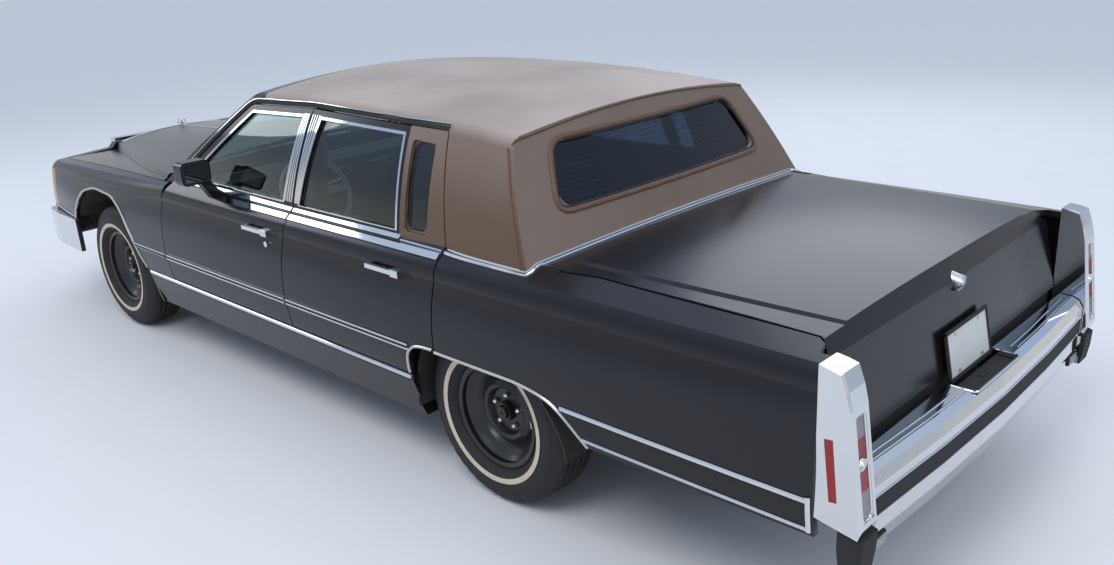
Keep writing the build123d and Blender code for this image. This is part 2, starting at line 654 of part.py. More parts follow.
# Upright egg-crate grille in a bright frame
GRILLE_X = (2652, 2782)
GRILLE_Z = (592, 918)
GRILLE_BARS = 17
GRILLE_ROWS = 7
with BuildPart() as grille:
    box_between((2705, -GRILLE_HALF, GRILLE_Z[0]), (GRILLE_X[1], GRILLE_HALF, GRILLE_Z[1]))
    box_between((2652, -GRILLE_HALF + EDGE_GAP, 597), (2705, GRILLE_HALF - EDGE_GAP, 879.5))
    box_between((2600, -GRILLE_HALF + 24, 616), (2900, GRILLE_HALF - 24, 866), mode=Mode.SUBTRACT)
    fillet(grille.edges().filter_by(Axis.Y).group_by(Axis.X)[-1].sort_by(Axis.Z)[-1:], radius=14)
    for index in range(1, GRILLE_BARS):
        y = -GRILLE_HALF + 24 + index * (2 * GRILLE_HALF - 48) / GRILLE_BARS
        box_between((2722, y - 3, 612), (2776, y + 3, 870))
    for index in range(1, GRILLE_ROWS):
        z = 616 + index * 250 / GRILLE_ROWS
        box_between((2722, -GRILLE_HALF + 20, z - 3), (2772, GRILLE_HALF - 20, z + 3))
save(grille, "grille")

# Headlamps and turn lamps in the front panel, and the lamps on the fender corners
with BuildPart() as front_lamps:
    for side in (1, -1):
        for inner, outer in LAMP_COLUMNS:
            for low_z, high_z in (LAMP_ROW, TURN_ROW):
                low_y, high_y = sorted((side * (inner + EDGE_GAP), side * (outer - EDGE_GAP)))
                box_between((2652, low_y, low_z + EDGE_GAP), (2694, high_y, high_z - EDGE_GAP))
save(front_lamps, "front_lamps")
with BuildPart() as corner_lamps:
    add(fender_skin)
    box_between((2623, 700, 596), (2690, WIDE, 811), mode=Mode.INTERSECT)
    mirror(about=Plane.XZ)
save(corner_lamps, "corner_lamps")

# Bumpers: blade across each end, with wings that run back to the front arches
FRONT_FACE = [(2235, 926), (2560, 912), (2690, 892), (2742, 850), (2782, 420), (END_X, 0)]
BUMPER_Z = (372, 568)
with BuildPart() as front_blade:
    add(plan_prism(both_sides(FRONT_FACE) + [(2235, -900), (2640, -872), (2690, -820), (2712, 0),
                                             (2690, 820), (2640, 872), (2235, 900)], *BUMPER_Z))
    chamfer(front_blade.edges().filter_by(lambda e: e.center().Z < BUMPER_Z[0] + 1
                                          and e.center().X > 2720), length=26)
    chamfer(front_blade.edges().filter_by(lambda e: e.center().Z > BUMPER_Z[1] - 1
                                          and e.center().X > 2720), length=16)

# Rear blade: section in the middle of the car, how far each place across stands forward of it
REAR_BUMPER_LOW = 352
REAR_INNER = [(-2740, REAR_BUMPER_LOW), (-2700, 440), (-2690, 560), (-2690, 620)]
REAR_OUTER = [(-2764, 617), (-2790, 606), (-END_X, 580), (-END_X, 430), (-2776, REAR_BUMPER_LOW)]
REAR_END_Y = 832
REAR_BOW = [(REAR_END_Y, 30), (420, 9), (0, 0)]
PLATE_NOTCH = ((-2784, -178, 598), (-2600, 178, 700))
TOWER_INNER_Y = 838
TOWER_OUTER_Y = 931
GUARD_CORE = ((-2782, REAR_END_Y, REAR_BUMPER_LOW), (-2734, 912, 464))
GUARD_OUTLINE = [(-2722, 485), (-2786, 473), (-2800, 468), (-2797, 410), (-2788, REAR_BUMPER_LOW),
                 (-2730, REAR_BUMPER_LOW), (-2722, 410)]
GUARD_Y = (REAR_END_Y + RUN_GAP, 922)
with BuildPart() as rear_blade:
    add(side_loft([(y, REAR_INNER + [(x + shift, z) for x, z in REAR_OUTER])
                   for y, shift in sorted((sign * y, shift) for y, shift in REAR_BOW
                                          for sign in ((1, -1) if y else (1,)))]))
    for side in (1, -1):
        low, high = [(x, side * y, z) for x, y, z in GUARD_CORE]
        box_between((low[0], min(low[1], high[1]), low[2]), (high[0], max(low[1], high[1]), high[2]))
    box_between(*PLATE_NOTCH, mode=Mode.SUBTRACT)

# Black strips let into both blades, and the black covers of the rear guards
STRIP_DEPTH = 8
FRONT_STRIP_Z = (452, 512)
REAR_STRIP_Z = (486, 546)
REAR_PLAN = [(shift - END_X, y) for y, shift in REAR_BOW]
with BuildPart() as strip_band:
    box_between((2690, -WIDE, FRONT_STRIP_Z[0]), (2900, WIDE, FRONT_STRIP_Z[1]))
    box_between((-2900, 6 - REAR_END_Y, REAR_STRIP_Z[0]), (-2700, REAR_END_Y - 6, REAR_STRIP_Z[1]))
with BuildPart() as strip_core:
    add(plan_prism(both_sides([(x - STRIP_DEPTH, y - 6) for x, y in FRONT_FACE[:-1]]
                              + [(END_X - STRIP_DEPTH, 0)])
                   + [(2235, -800), (2235, 800)], 0, 1000))
    add(plan_prism(both_sides([(x + STRIP_DEPTH, y) for x, y in REAR_PLAN])
                   + [(-2600, -REAR_END_Y), (-2600, REAR_END_Y)], 0, 1000))
with BuildPart() as guard_cover:
    add(side_prism(GUARD_OUTLINE, *GUARD_Y))
    chamfer(guard_cover.edges().group_by(Axis.Y)[-1].filter_by(lambda e: e.center().Z > 360), length=8)
    box_between((GUARD_CORE[0][0] - RUN_GAP, 800, 300),
                (GUARD_CORE[1][0] + RUN_GAP, GUARD_CORE[1][1] + RUN_GAP, GUARD_CORE[1][2] + RUN_GAP),
                mode=Mode.SUBTRACT)
    mirror(about=Plane.XZ)
with BuildPart() as bumpers:
    add(front_blade.part)
    add(rear_blade.part)
    add(strip_band.part - strip_core.part, mode=Mode.SUBTRACT)
save(bumpers, "bumpers")
with BuildPart() as bumper_strips:
    add((front_blade.part + rear_blade.part) & (strip_band.part - strip_core.part))
    add(guard_cover.part)
save(bumper_strips, "bumper_strips")

# Tall lamp towers at the rear corners, with the lens pocket and the marker on the outer face
TOWER_OUTLINE = [(-2660.5, 950), (-2700, 948), (-2728, 941), (-2746, 892), (-2758, 842), (-2800, 505),
                 (-2790, 476), (-2700, 492), (-2660.5, 500)]
LENS_OUTLINE = [(-2752, 820), (-2788, 540), (-2791, 522), (-2775, 520), (-2738, 820)]
LENS_ROOM = [(-2738, 820), (-2830, 820), (-2860, 520), (-2775, 520)]
LENS_Y = (858, 914)
MARKER_OUTLINE = [(-2684, 744), (-2708, 746), (-2726, 567), (-2704, 564)]
marker_block = side_prism(MARKER_OUTLINE, TOWER_OUTER_Y - 6, TOWER_OUTER_Y + 2)
with BuildPart() as lamp_towers:
    add(side_prism(TOWER_OUTLINE, TOWER_INNER_Y, TOWER_OUTER_Y))
    for rim in (0, -1):
        chamfer(lamp_towers.edges().group_by(Axis.Y)[rim].filter_by(
            lambda e: e.center().X < -2710 and e.center().Z > 500), length=6)
    add(side_prism(LENS_ROOM, *LENS_Y), mode=Mode.SUBTRACT)
    add(marker_block, mode=Mode.SUBTRACT)
    mirror(about=Plane.XZ)
save(lamp_towers, "lamp_towers")
with BuildPart() as tail_lamps:
    add(side_prism(LENS_OUTLINE, *LENS_Y))
    add(marker_block)
    add(lamp_towers.part, mode=Mode.SUBTRACT)
    mirror(about=Plane.XZ)
save(tail_lamps, "tail_lamps")

# Floor from the toe board to the tail, with the firewall, tunnel and cowl
FLOOR_LINE = [(1112, 884.5), (1112, 452), (900, FLOOR_Z), (-620, FLOOR_Z), (-690, TRUNK_FLOOR_Z),
              (-2640, TRUNK_FLOOR_Z), (-2640, 636)]
TUNNEL_HALF = 150
TUNNEL_TOP = [(1124, 600), (700, 500), (0, 420), (-560, 410), (-700, 505), (-1470, 505), (-1560, 455)]
TUNNEL_FOOT = [(-1560, 448), (-694, 448), (-624, 258), (1124, 258)]
with BuildPart() as floor_line:
    with BuildSketch(Plane.XZ.offset(-815)):
        with BuildLine():
            Polyline(*FLOOR_LINE, *[(x + FLOOR_SHEET * dx, z - FLOOR_SHEET * dz) for (x, z), dx, dz in
                                    zip(reversed(FLOOR_LINE), (-1, -1, -0.7, -0.7, 0.5, 1, 1),
                                        (0, 1, 1, 1, 1, 0, 0))], close=True)
        make_face()
    extrude(amount=1630)
tunnel_block = side_prism(TUNNEL_TOP + TUNNEL_FOOT, -TUNNEL_HALF, TUNNEL_HALF)
tunnel_room = side_prism([(1300, 588)] + [(x, z - FLOOR_SHEET) for x, z in TUNNEL_TOP[1:6]]
                         + [(-1548, 440), (-1548, 100), (1300, 100)],
                         -TUNNEL_HALF + FLOOR_SHEET, TUNNEL_HALF - FLOOR_SHEET)
with BuildPart() as floor_pan:
    add(floor_line.part)
    add(tunnel_block)
    add(tunnel_room, mode=Mode.SUBTRACT)
    for side in (1, -1):
        low_y, high_y = sorted((side * 590, side * WIDE))
        box_between((-1720, low_y, 0), (-905, high_y, 700), mode=Mode.SUBTRACT)
save(floor_pan, "floor_pan")
with BuildPart() as cowl:
    box_between((1040, -894, 885), (1290, 894, 904.5))
    add(fender_pair, mode=Mode.SUBTRACT)
    add(front_door_hole, mode=Mode.SUBTRACT)
    add(front_door_hole.mirror(Plane.XZ), mode=Mode.SUBTRACT)
    cowl_keep = cowl.solids().sort_by(SortBy.VOLUME)[-1]
with BuildPart() as cowl_panel:
    add(cowl_keep)
save(cowl_panel, "cowl")

# Inner wheel wells behind the four arches
WELL_SHEET = 8
FRONT_WELL_Y = 468
REAR_WELL_Y = 590
front_well_shape = side_prism(FRONT_ARCH, FRONT_WELL_Y, 948)
front_well_room = side_prism(FRONT_ARCH, FRONT_WELL_Y + WELL_SHEET, 1000, -WELL_SHEET)
with BuildPart() as front_well:
    add(front_well_shape)
    add(front_well_room, mode=Mode.SUBTRACT)
    box_between((0, 0, 0), (3000, WIDE, 256), mode=Mode.SUBTRACT)
    box_between((2000, 0, 0), (3000, WIDE, 590), mode=Mode.SUBTRACT)
    add(fender_skin, mode=Mode.SUBTRACT)
    front_well_main = front_well.solids().sort_by(SortBy.VOLUME)[-1]
with BuildPart() as rear_well_part:
    rod((REAR_AXLE_X, REAR_WELL_Y, TYRE_RADIUS), (REAR_AXLE_X, 948, TYRE_RADIUS), WELL_RADIUS)
    rod((REAR_AXLE_X, REAR_WELL_Y + WELL_SHEET, TYRE_RADIUS), (REAR_AXLE_X, 960, TYRE_RADIUS),
        WELL_RADIUS - WELL_SHEET, mode=Mode.SUBTRACT)
    box_between((-3000, 0, -200), (0, WIDE, 300), mode=Mode.SUBTRACT)
    box_between((-1126, WELL_LIMIT_Y, 0), (0, WIDE, 900), mode=Mode.SUBTRACT)
    box_between((-1200, WELL_LIMIT_Y - 1, 0), (0, WIDE, 462), mode=Mode.SUBTRACT)
    add(quarter_skin, mode=Mode.SUBTRACT)
    rear_well_main = rear_well_part.solids().sort_by(SortBy.VOLUME)[-1]
AXLE_ROOM_Z = 440
with BuildPart() as wheel_wells:
    add(front_well_main)
    add(rear_well_main)
    box_between((REAR_AXLE_X - 60, 0, 0), (REAR_AXLE_X + 60, REAR_WELL_Y + 20, AXLE_ROOM_Z),
                mode=Mode.SUBTRACT)
    box_between((FRONT_AXLE_X - 190, 0, 0), (FRONT_AXLE_X + 190, FRONT_WELL_Y + 20, 560),
                mode=Mode.SUBTRACT)
    mirror(about=Plane.XZ)
save(wheel_wells, "wheel_wells")

# Perimeter frame with its crossmembers and the front control arms
# x from, x to, inner y, outer y, low z, high z
FRAME_RAILS = [
    (1290, 2600, 372, 440, 300, 400),
    (1200, 1290, 372, 440, 150, 400),
    (930, 1290, 372, 690, 180, 256),
    (-860, 1010, 640, 700, 180, 256),
    (-900, -840, 500, 700, 180, 256),
    (-900, -840, 500, 560, 180, 447.5),
    (-2560, -860, 500, 560, 400, 447.5),
    (2600, 2700, 380, 430, 376, 400),
    (-2699, -2560, 505, 555, 441, 447.5),
]
# x from, x to, half width, low z, high z
FRAME_CROSS = [
    (FRONT_AXLE_X - 110, FRONT_AXLE_X + 110, 400, 190, 305),
    (2470, 2550, 400, 330, 400),
    (700, 800, 660, 232, 256),
    (-2060, -1990, 520, 400, 440),
]
KINGPIN_Y = 655
ARM_HALF = 34
BALL_RADIUS = 10
LOWER_ARM_Z = (184, 204.5)
UPPER_ARM_Z = (495.5, 512)
with BuildPart() as arms:
    for low_z, high_z, root_half in ((*LOWER_ARM_Z, 150), (*UPPER_ARM_Z, 110)):
        add(plan_prism([(FRONT_AXLE_X - root_half, 395), (FRONT_AXLE_X + root_half, 395),
                        (FRONT_AXLE_X + ARM_HALF, 640), (FRONT_AXLE_X + ARM_HALF, 684),
                        (FRONT_AXLE_X - ARM_HALF, 684), (FRONT_AXLE_X - ARM_HALF, 640)],
                       low_z, high_z))
    rod((FRONT_AXLE_X, KINGPIN_Y, 200), (FRONT_AXLE_X, KINGPIN_Y, 234), BALL_RADIUS)
    rod((FRONT_AXLE_X, KINGPIN_Y, 466), (FRONT_AXLE_X, KINGPIN_Y, 500), BALL_RADIUS)
    box_between((FRONT_AXLE_X - 110, 372, 395), (FRONT_AXLE_X + 110, 440, 512))
with BuildPart() as chassis_frame:
    for x_from, x_to, inner, outer, low_z, high_z in FRAME_RAILS:
        box_between((x_from, inner, low_z), (x_to, outer, high_z))
    add(arms.part)
    mirror(about=Plane.XZ)
    for x_from, x_to, half, low_z, high_z in FRAME_CROSS:
        box_between((x_from, -half, low_z), (x_to, half, high_z))
    fillet(chassis_frame.edges().filter_by(Axis.X).group_by(Axis.Z)[0], radius=8)
save(chassis_frame, "chassis_frame")

# Engine and gearbox as one plain block, and the radiator behind the grille
with BuildPart() as engine_block:
    box_between((1320, -290, 420), (2060, 290, 800))
    box_between((1400, -180, 310), (2000, 180, 420))
    box_between((1140, -200, 320), (1320, 200, 560))
    box_between((620, -105, 300), (1140, 105, 440))
    for side in (1, -1):
        low_y, high_y = sorted((side * 280, side * 371.5))
        box_between((FRONT_AXLE_X - 60, low_y, 401), (FRONT_AXLE_X + 60, high_y, 440))
save(engine_block, "engine_block")
with BuildPart() as radiator:
    box_between((2470, -350, 400.2), (2540, 350, 830))
save(radiator, "radiator")

# Rear axle with its drums and springs, and the drive shaft
SPINDLE_RADIUS = 16
REAR_WHEEL_Y = REAR_TRACK / 2
FRONT_WHEEL_Y = FRONT_TRACK / 2
DRUM_Y = 672
with BuildPart() as rear_axle:
    rod((REAR_AXLE_X, -DRUM_Y, TYRE_RADIUS), (REAR_AXLE_X, DRUM_Y, TYRE_RADIUS), 38)
    with Locations((REAR_AXLE_X, 0, TYRE_RADIUS)):
        Sphere(120)
    rod((REAR_AXLE_X, 0, TYRE_RADIUS), (520, 0, 365), 36)
    rod((520, 0, 365), (617, 0, 366), 44)
    for side in (1, -1):
        rod((REAR_AXLE_X, side * (DRUM_Y - 30), TYRE_RADIUS), (REAR_AXLE_X, side * DRUM_Y, TYRE_RADIUS), 130)
        rod((REAR_AXLE_X, side * DRUM_Y, TYRE_RADIUS),
            (REAR_AXLE_X, side * (REAR_WHEEL_Y - 14), TYRE_RADIUS), SPINDLE_RADIUS)
        rod((REAR_AXLE_X, side * 530, 360), (REAR_AXLE_X, side * 530, 399.6), 28)
save(rear_axle, "rear_axle")

# Exhaust on the right and the fuel tank under the trunk floor
EXHAUST_RUN = [(1319.6, -240, 400), (1240, -290, 260), (1150, -335, 205), (880, -335, 200),
               (700, -400, 200), (-690, -400, 200), (-860, -420, 419), (-1640, -420, 419),
               (-1740, -440, 350), (-1900, -620, 335), (-2690, -620, 335)]
PIPE_RADIUS = 24
with BuildPart() as exhaust:
    for start, end in zip(EXHAUST_RUN[:-1], EXHAUST_RUN[1:]):
        rod(start, end, PIPE_RADIUS)
    for bend in EXHAUST_RUN[1:-1]:
        with Locations(bend):
            Sphere(PIPE_RADIUS)
    box_between((-480, -490, 150), (150, -330, 246))
    box_between((-2330, -640, 335), (-2300, -540, 399.6))
save(exhaust, "exhaust")
with BuildPart() as fuel_tank:
    box_between((-2500, -440, 250), (-2070, 440, 447.6))
    fillet(fuel_tank.edges().group_by(Axis.Z)[0], radius=40)
save(fuel_tank, "fuel_tank")

# Seats: two front seats side by side and a rear bench
SEAT_BACK = [(-210, 420), (-230, 520), (-395, 900), (-460, 960), (-520, 950), (-530, 900), (-400, 330),
             (-330, 271)]
SEAT_BASE = [(-330, 271), (260, 271), (330, 420), (320, 500), (-200, 470), (-240, 520), (-400, 400)]
with BuildPart() as front_seats:
    for low_y, high_y in ((158, 690), (-690, -158)):
        add(side_prism(SEAT_BASE, low_y, high_y))
        add(side_prism(SEAT_BACK, low_y, high_y))
    box_between((-330, -158, 430), (300, 158, 500))
    add(tunnel_block, mode=Mode.SUBTRACT)
save(front_seats, "front_seats")
REAR_BENCH = [(-694, 460.2), (-640, 468), (-630, 520), (-660, 545), (-1150, 505), (-1300, 880),
              (-1350, 930), (-1440, 930), (-1400, 540), (-1390, 460.2)]
with BuildPart() as rear_seat:
    add(side_prism(REAR_BENCH, -588, 588))
    box_between((-1500, -TUNNEL_HALF - EDGE_GAP, 300), (-600, TUNNEL_HALF + EDGE_GAP, 505 + EDGE_GAP),
                mode=Mode.SUBTRACT)
save(rear_seat, "rear_seat")
with BuildPart() as package_shelf:
    add(plan_prism([(-1300, -680), (-1300, 680), (-1540, 680), (-1540, -680)], 931, 945))
    add(cabin_inner, mode=Mode.INTERSECT)
save(package_shelf, "package_shelf")

# Dashboard, steering wheel and column
DASH_PROFILE = [(1039.5, 640), (1039.5, 890), (1000, 925), (840, 952), (745, 925), (735, 760),
                (800, 690), (860, 640)]
with BuildPart() as dashboard:
    add(side_prism(DASH_PROFILE, -770, 770))
    add(engine_block.part, mode=Mode.SUBTRACT)
save(dashboard, "dashboard")
WHEEL_CENTRE = (470, 370, 850)
COLUMN_LEAN = 28
WHEEL_RADIUS = 185
column_dir = Vector(cos(radians(COLUMN_LEAN)), 0, -sin(radians(COLUMN_LEAN)))
with BuildPart() as steering_wheel:
    with Locations(Plane(origin=WHEEL_CENTRE, x_dir=(0, 1, 0), z_dir=column_dir).location):
        Torus(WHEEL_RADIUS, 12)
        Cylinder(55, 40)
        Box(2 * WHEEL_RADIUS, 34, 14)
    column_end = Vector(*WHEEL_CENTRE) + column_dir * 330
    rod(WHEEL_CENTRE, (column_end.X, column_end.Y, column_end.Z), 32)
    add(dashboard.part, mode=Mode.SUBTRACT)
save(steering_wheel, "steering_wheel")

# Steering knuckles with their upright, ears, shield and spindle
EAR_Z = ((205, 234), (466, 495))
with BuildPart() as knuckle_left:
    box_between((FRONT_AXLE_X - 40, 644, 205), (FRONT_AXLE_X + 40, 672, 495))
    for low_z, high_z in EAR_Z:
        box_between((FRONT_AXLE_X - 27, 632, low_z), (FRONT_AXLE_X + 27, 672, high_z))
    rod((FRONT_AXLE_X, 672, TYRE_RADIUS), (FRONT_AXLE_X, FRONT_WHEEL_Y - 14, TYRE_RADIUS),
        SPINDLE_RADIUS)
    rod((FRONT_AXLE_X, 668, TYRE_RADIUS), (FRONT_AXLE_X, 674, TYRE_RADIUS), 140)
    rod((FRONT_AXLE_X, KINGPIN_Y, 200), (FRONT_AXLE_X, KINGPIN_Y, 500), BALL_RADIUS + RUN_GAP,
        mode=Mode.SUBTRACT)
save(knuckle_left, "knuckle_left")
with BuildPart() as knuckle_right:
    mirror(knuckle_left.part, about=Plane.XZ)
save(knuckle_right, "knuckle_right")

# Wheels: tyre section and pressed steel rim as radius and width, outer face at positive width
TYRE_SECTION = [(193, -76), (206, -77), (213, -90), (240, -109), (268, -112.5), (300, -109),
                (330, -96), (344, -80), (350, -40), (350, 40), (344, 80), (330, 96), (300, 109),
                (268, 112.5), (240, 109), (213, 90), (206, 77), (193, 76), (193, 62), (215, 84),
                (262, 102), (300, 98), (334, 76), (338, 0), (334, -76), (300, -98), (262, -102),
                (215, -84), (193, -62)]
RIM_SECTION = [(205, -84), (205, -78), (192.5, -77.4), (192.5, -58), (176, -48), (176, 40), (192.5, 58),
               (192.5, 77.4), (205, 78), (205, 84), (199, 85), (187, 80), (187, 60), (170, 44), (152, 30),
               (140, 16), (124, 30), (108, 40), (94, 34), (84, 14), (40, 14), (36, 40), (0.5, 40),
               (0.5, 0), (16.3, 0), (16.3, -58), (46, -58), (46, -96), (128, -96), (128, -88),
               (60, -84), (60, 4), (92, 6), (104, 24), (122, 16), (136, 0), (158, 10), (170, 20),
               (170, -52), (187, -62), (187, -80), (199, -85)]
WHEELS = {
    "front_left": (FRONT_AXLE_X, FRONT_WHEEL_Y, 0),
    "front_right": (FRONT_AXLE_X, -FRONT_WHEEL_Y, 180),
    "rear_left": (REAR_AXLE_X, REAR_WHEEL_Y, 0),
    "rear_right": (REAR_AXLE_X, -REAR_WHEEL_Y, 180),
}
tyre_form = wheel_profile(TYRE_SECTION)
rim_form = wheel_profile(RIM_SECTION)
for corner, (x, y, turn) in WHEELS.items():
    place = Location((x, y, TYRE_RADIUS), (0, 0, turn))
    with BuildPart() as tyre:
        add(tyre_form.moved(place))
    save(tyre, f"tyre_{corner}")
    with BuildPart() as wheel:
        add(rim_form.moved(place))
    save(wheel, f"wheel_{corner}")
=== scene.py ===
import json
import logging
import math
from collections.abc import Iterable, Sequence
from dataclasses import dataclass, field
from enum import Enum

import bmesh
import bpy
from mathutils import Matrix, Vector
from mathutils.bvhtree import BVHTree

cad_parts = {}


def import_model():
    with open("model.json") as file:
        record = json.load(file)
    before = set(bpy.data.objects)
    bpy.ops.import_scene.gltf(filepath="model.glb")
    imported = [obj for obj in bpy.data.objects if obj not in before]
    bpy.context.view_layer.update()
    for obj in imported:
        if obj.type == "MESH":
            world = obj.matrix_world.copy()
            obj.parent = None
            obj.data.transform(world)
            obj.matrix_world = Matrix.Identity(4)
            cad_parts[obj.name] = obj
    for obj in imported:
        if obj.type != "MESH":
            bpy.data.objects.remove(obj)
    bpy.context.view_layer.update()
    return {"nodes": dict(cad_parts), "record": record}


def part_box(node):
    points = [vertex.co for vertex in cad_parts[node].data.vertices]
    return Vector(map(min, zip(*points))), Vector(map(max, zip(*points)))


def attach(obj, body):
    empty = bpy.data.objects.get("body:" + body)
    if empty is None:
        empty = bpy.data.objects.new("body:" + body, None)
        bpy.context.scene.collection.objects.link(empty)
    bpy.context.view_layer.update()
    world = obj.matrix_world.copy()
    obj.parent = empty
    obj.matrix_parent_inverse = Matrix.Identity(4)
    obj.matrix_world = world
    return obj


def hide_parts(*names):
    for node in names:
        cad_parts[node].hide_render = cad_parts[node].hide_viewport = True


LOG = logging.getLogger("sedan")
Point = tuple[float, float, float]
Colour = tuple[float, float, float]
Flat = tuple[float, float]
Spot = tuple[Vector, Vector]
BOTH_SIDES = (("left", 1), ("right", -1))
FRONT_AXLE_X = 1.780
REAR_AXLE_X = -1.306


class Grain(Enum):
    """The small relief on a surface."""

    NOISE = "noise"
    PEBBLE = "pebble"
    RIB = "rib"


@dataclass(frozen=True)
class Finish:
    """A surface finish, from which a procedural material is made.

    Scales are in cycles per metre and depths in metres.
    """

    name: str
    colour: Colour
    worn: Colour
    wear_scale: float = 6.0
    wear_share: float = 0.35
    smooth: float = 0.3
    rough: float = 0.5
    metal: float = 0.0
    coat: float = 0.0
    coat_ior: float = 1.5
    gloss: float = 0.5
    clear: float = 0.0
    ior: float = 1.5
    grain: Grain = Grain.NOISE
    grain_scale: float = 400.0
    grain_depth: float = 0.0002
    dust: float = 0.0

    def material(self) -> bpy.types.Material:
        """Make the material, or give back the one already made.

        Returns:
            The material of this finish.
        """
        made = bpy.data.materials.get(self.name)
        if made is not None:
            return made
        sheet = NodeSheet(self.name)
        shader = sheet.shader
        place = sheet.node("ShaderNodeTexCoord").outputs["Object"]
        patches = sheet.noise(place, self.wear_scale, 6.0)
        fine = sheet.noise(place, self.wear_scale * 23.0, 3.0)
        patches = sheet.mix_value(patches, fine, 0.3)
        worn = sheet.remap(patches, 0.5, 0.8, 0.0, self.wear_share)
        tint = sheet.mix_colour(worn, self.colour, self.worn)
        if self.dust:
            facing = sheet.node("ShaderNodeNewGeometry").outputs["Normal"]
            upward = sheet.axis(facing, "Z")
            settled = sheet.remap(upward, 0.2, 1.0, 0.0, self.dust)
            settled = sheet.maths("MULTIPLY", settled, patches)
            tint = sheet.mix_colour(settled, tint, (0.25, 0.22, 0.18))
        sheet.link(self.zones(sheet, place, tint), shader.inputs["Base Color"])
        roughness = sheet.remap(patches, 0.35, 0.75, self.smooth, self.rough)
        sheet.link(roughness, shader.inputs["Roughness"])
        shader.inputs["Metallic"].default_value = self.metal
        shader.inputs["Coat Weight"].default_value = self.coat
        shader.inputs["Coat Roughness"].default_value = 0.02
        shader.inputs["Coat IOR"].default_value = self.coat_ior
        shader.inputs["Specular IOR Level"].default_value = self.gloss
        shader.inputs["Transmission Weight"].default_value = self.clear
        shader.inputs["IOR"].default_value = self.ior
        sheet.link(self.relief(sheet, place), shader.inputs["Normal"])
        return sheet.material

    def zones(self, sheet: "NodeSheet", place: bpy.types.NodeSocket,
              tint: bpy.types.NodeSocket) -> bpy.types.NodeSocket:
        """Give the colour of each part of the surface, the same all over unless a finish says otherwise."""
        return tint

    def relief(self, sheet: "NodeSheet", place: bpy.types.NodeSocket) -> bpy.types.NodeSocket:
        """Make the bump of the grain.

        Args:
            sheet: The node sheet to add to.
            place: The coordinates of the surface.

        Returns:
            The bumped normal.
        """
        if self.grain is Grain.PEBBLE:
            cells = sheet.node("ShaderNodeTexVoronoi", feature="SMOOTH_F1")
            cells.inputs["Scale"].default_value = self.grain_scale
            sheet.link(place, cells.inputs["Vector"])
            height = sheet.mix_value(cells.outputs["Distance"],
                                     sheet.noise(place, self.grain_scale * 0.3, 4.0), 0.4)
        elif self.grain is Grain.RIB:
            ribs = sheet.node("ShaderNodeTexWave", bands_direction="Y")
            ribs.inputs["Scale"].default_value = self.grain_scale
            sheet.link(place, ribs.inputs["Vector"])
            height = ribs.outputs["Fac"]
        else:
            height = sheet.noise(place, self.grain_scale, 4.0)
        return sheet.bump(height, self.grain_depth)


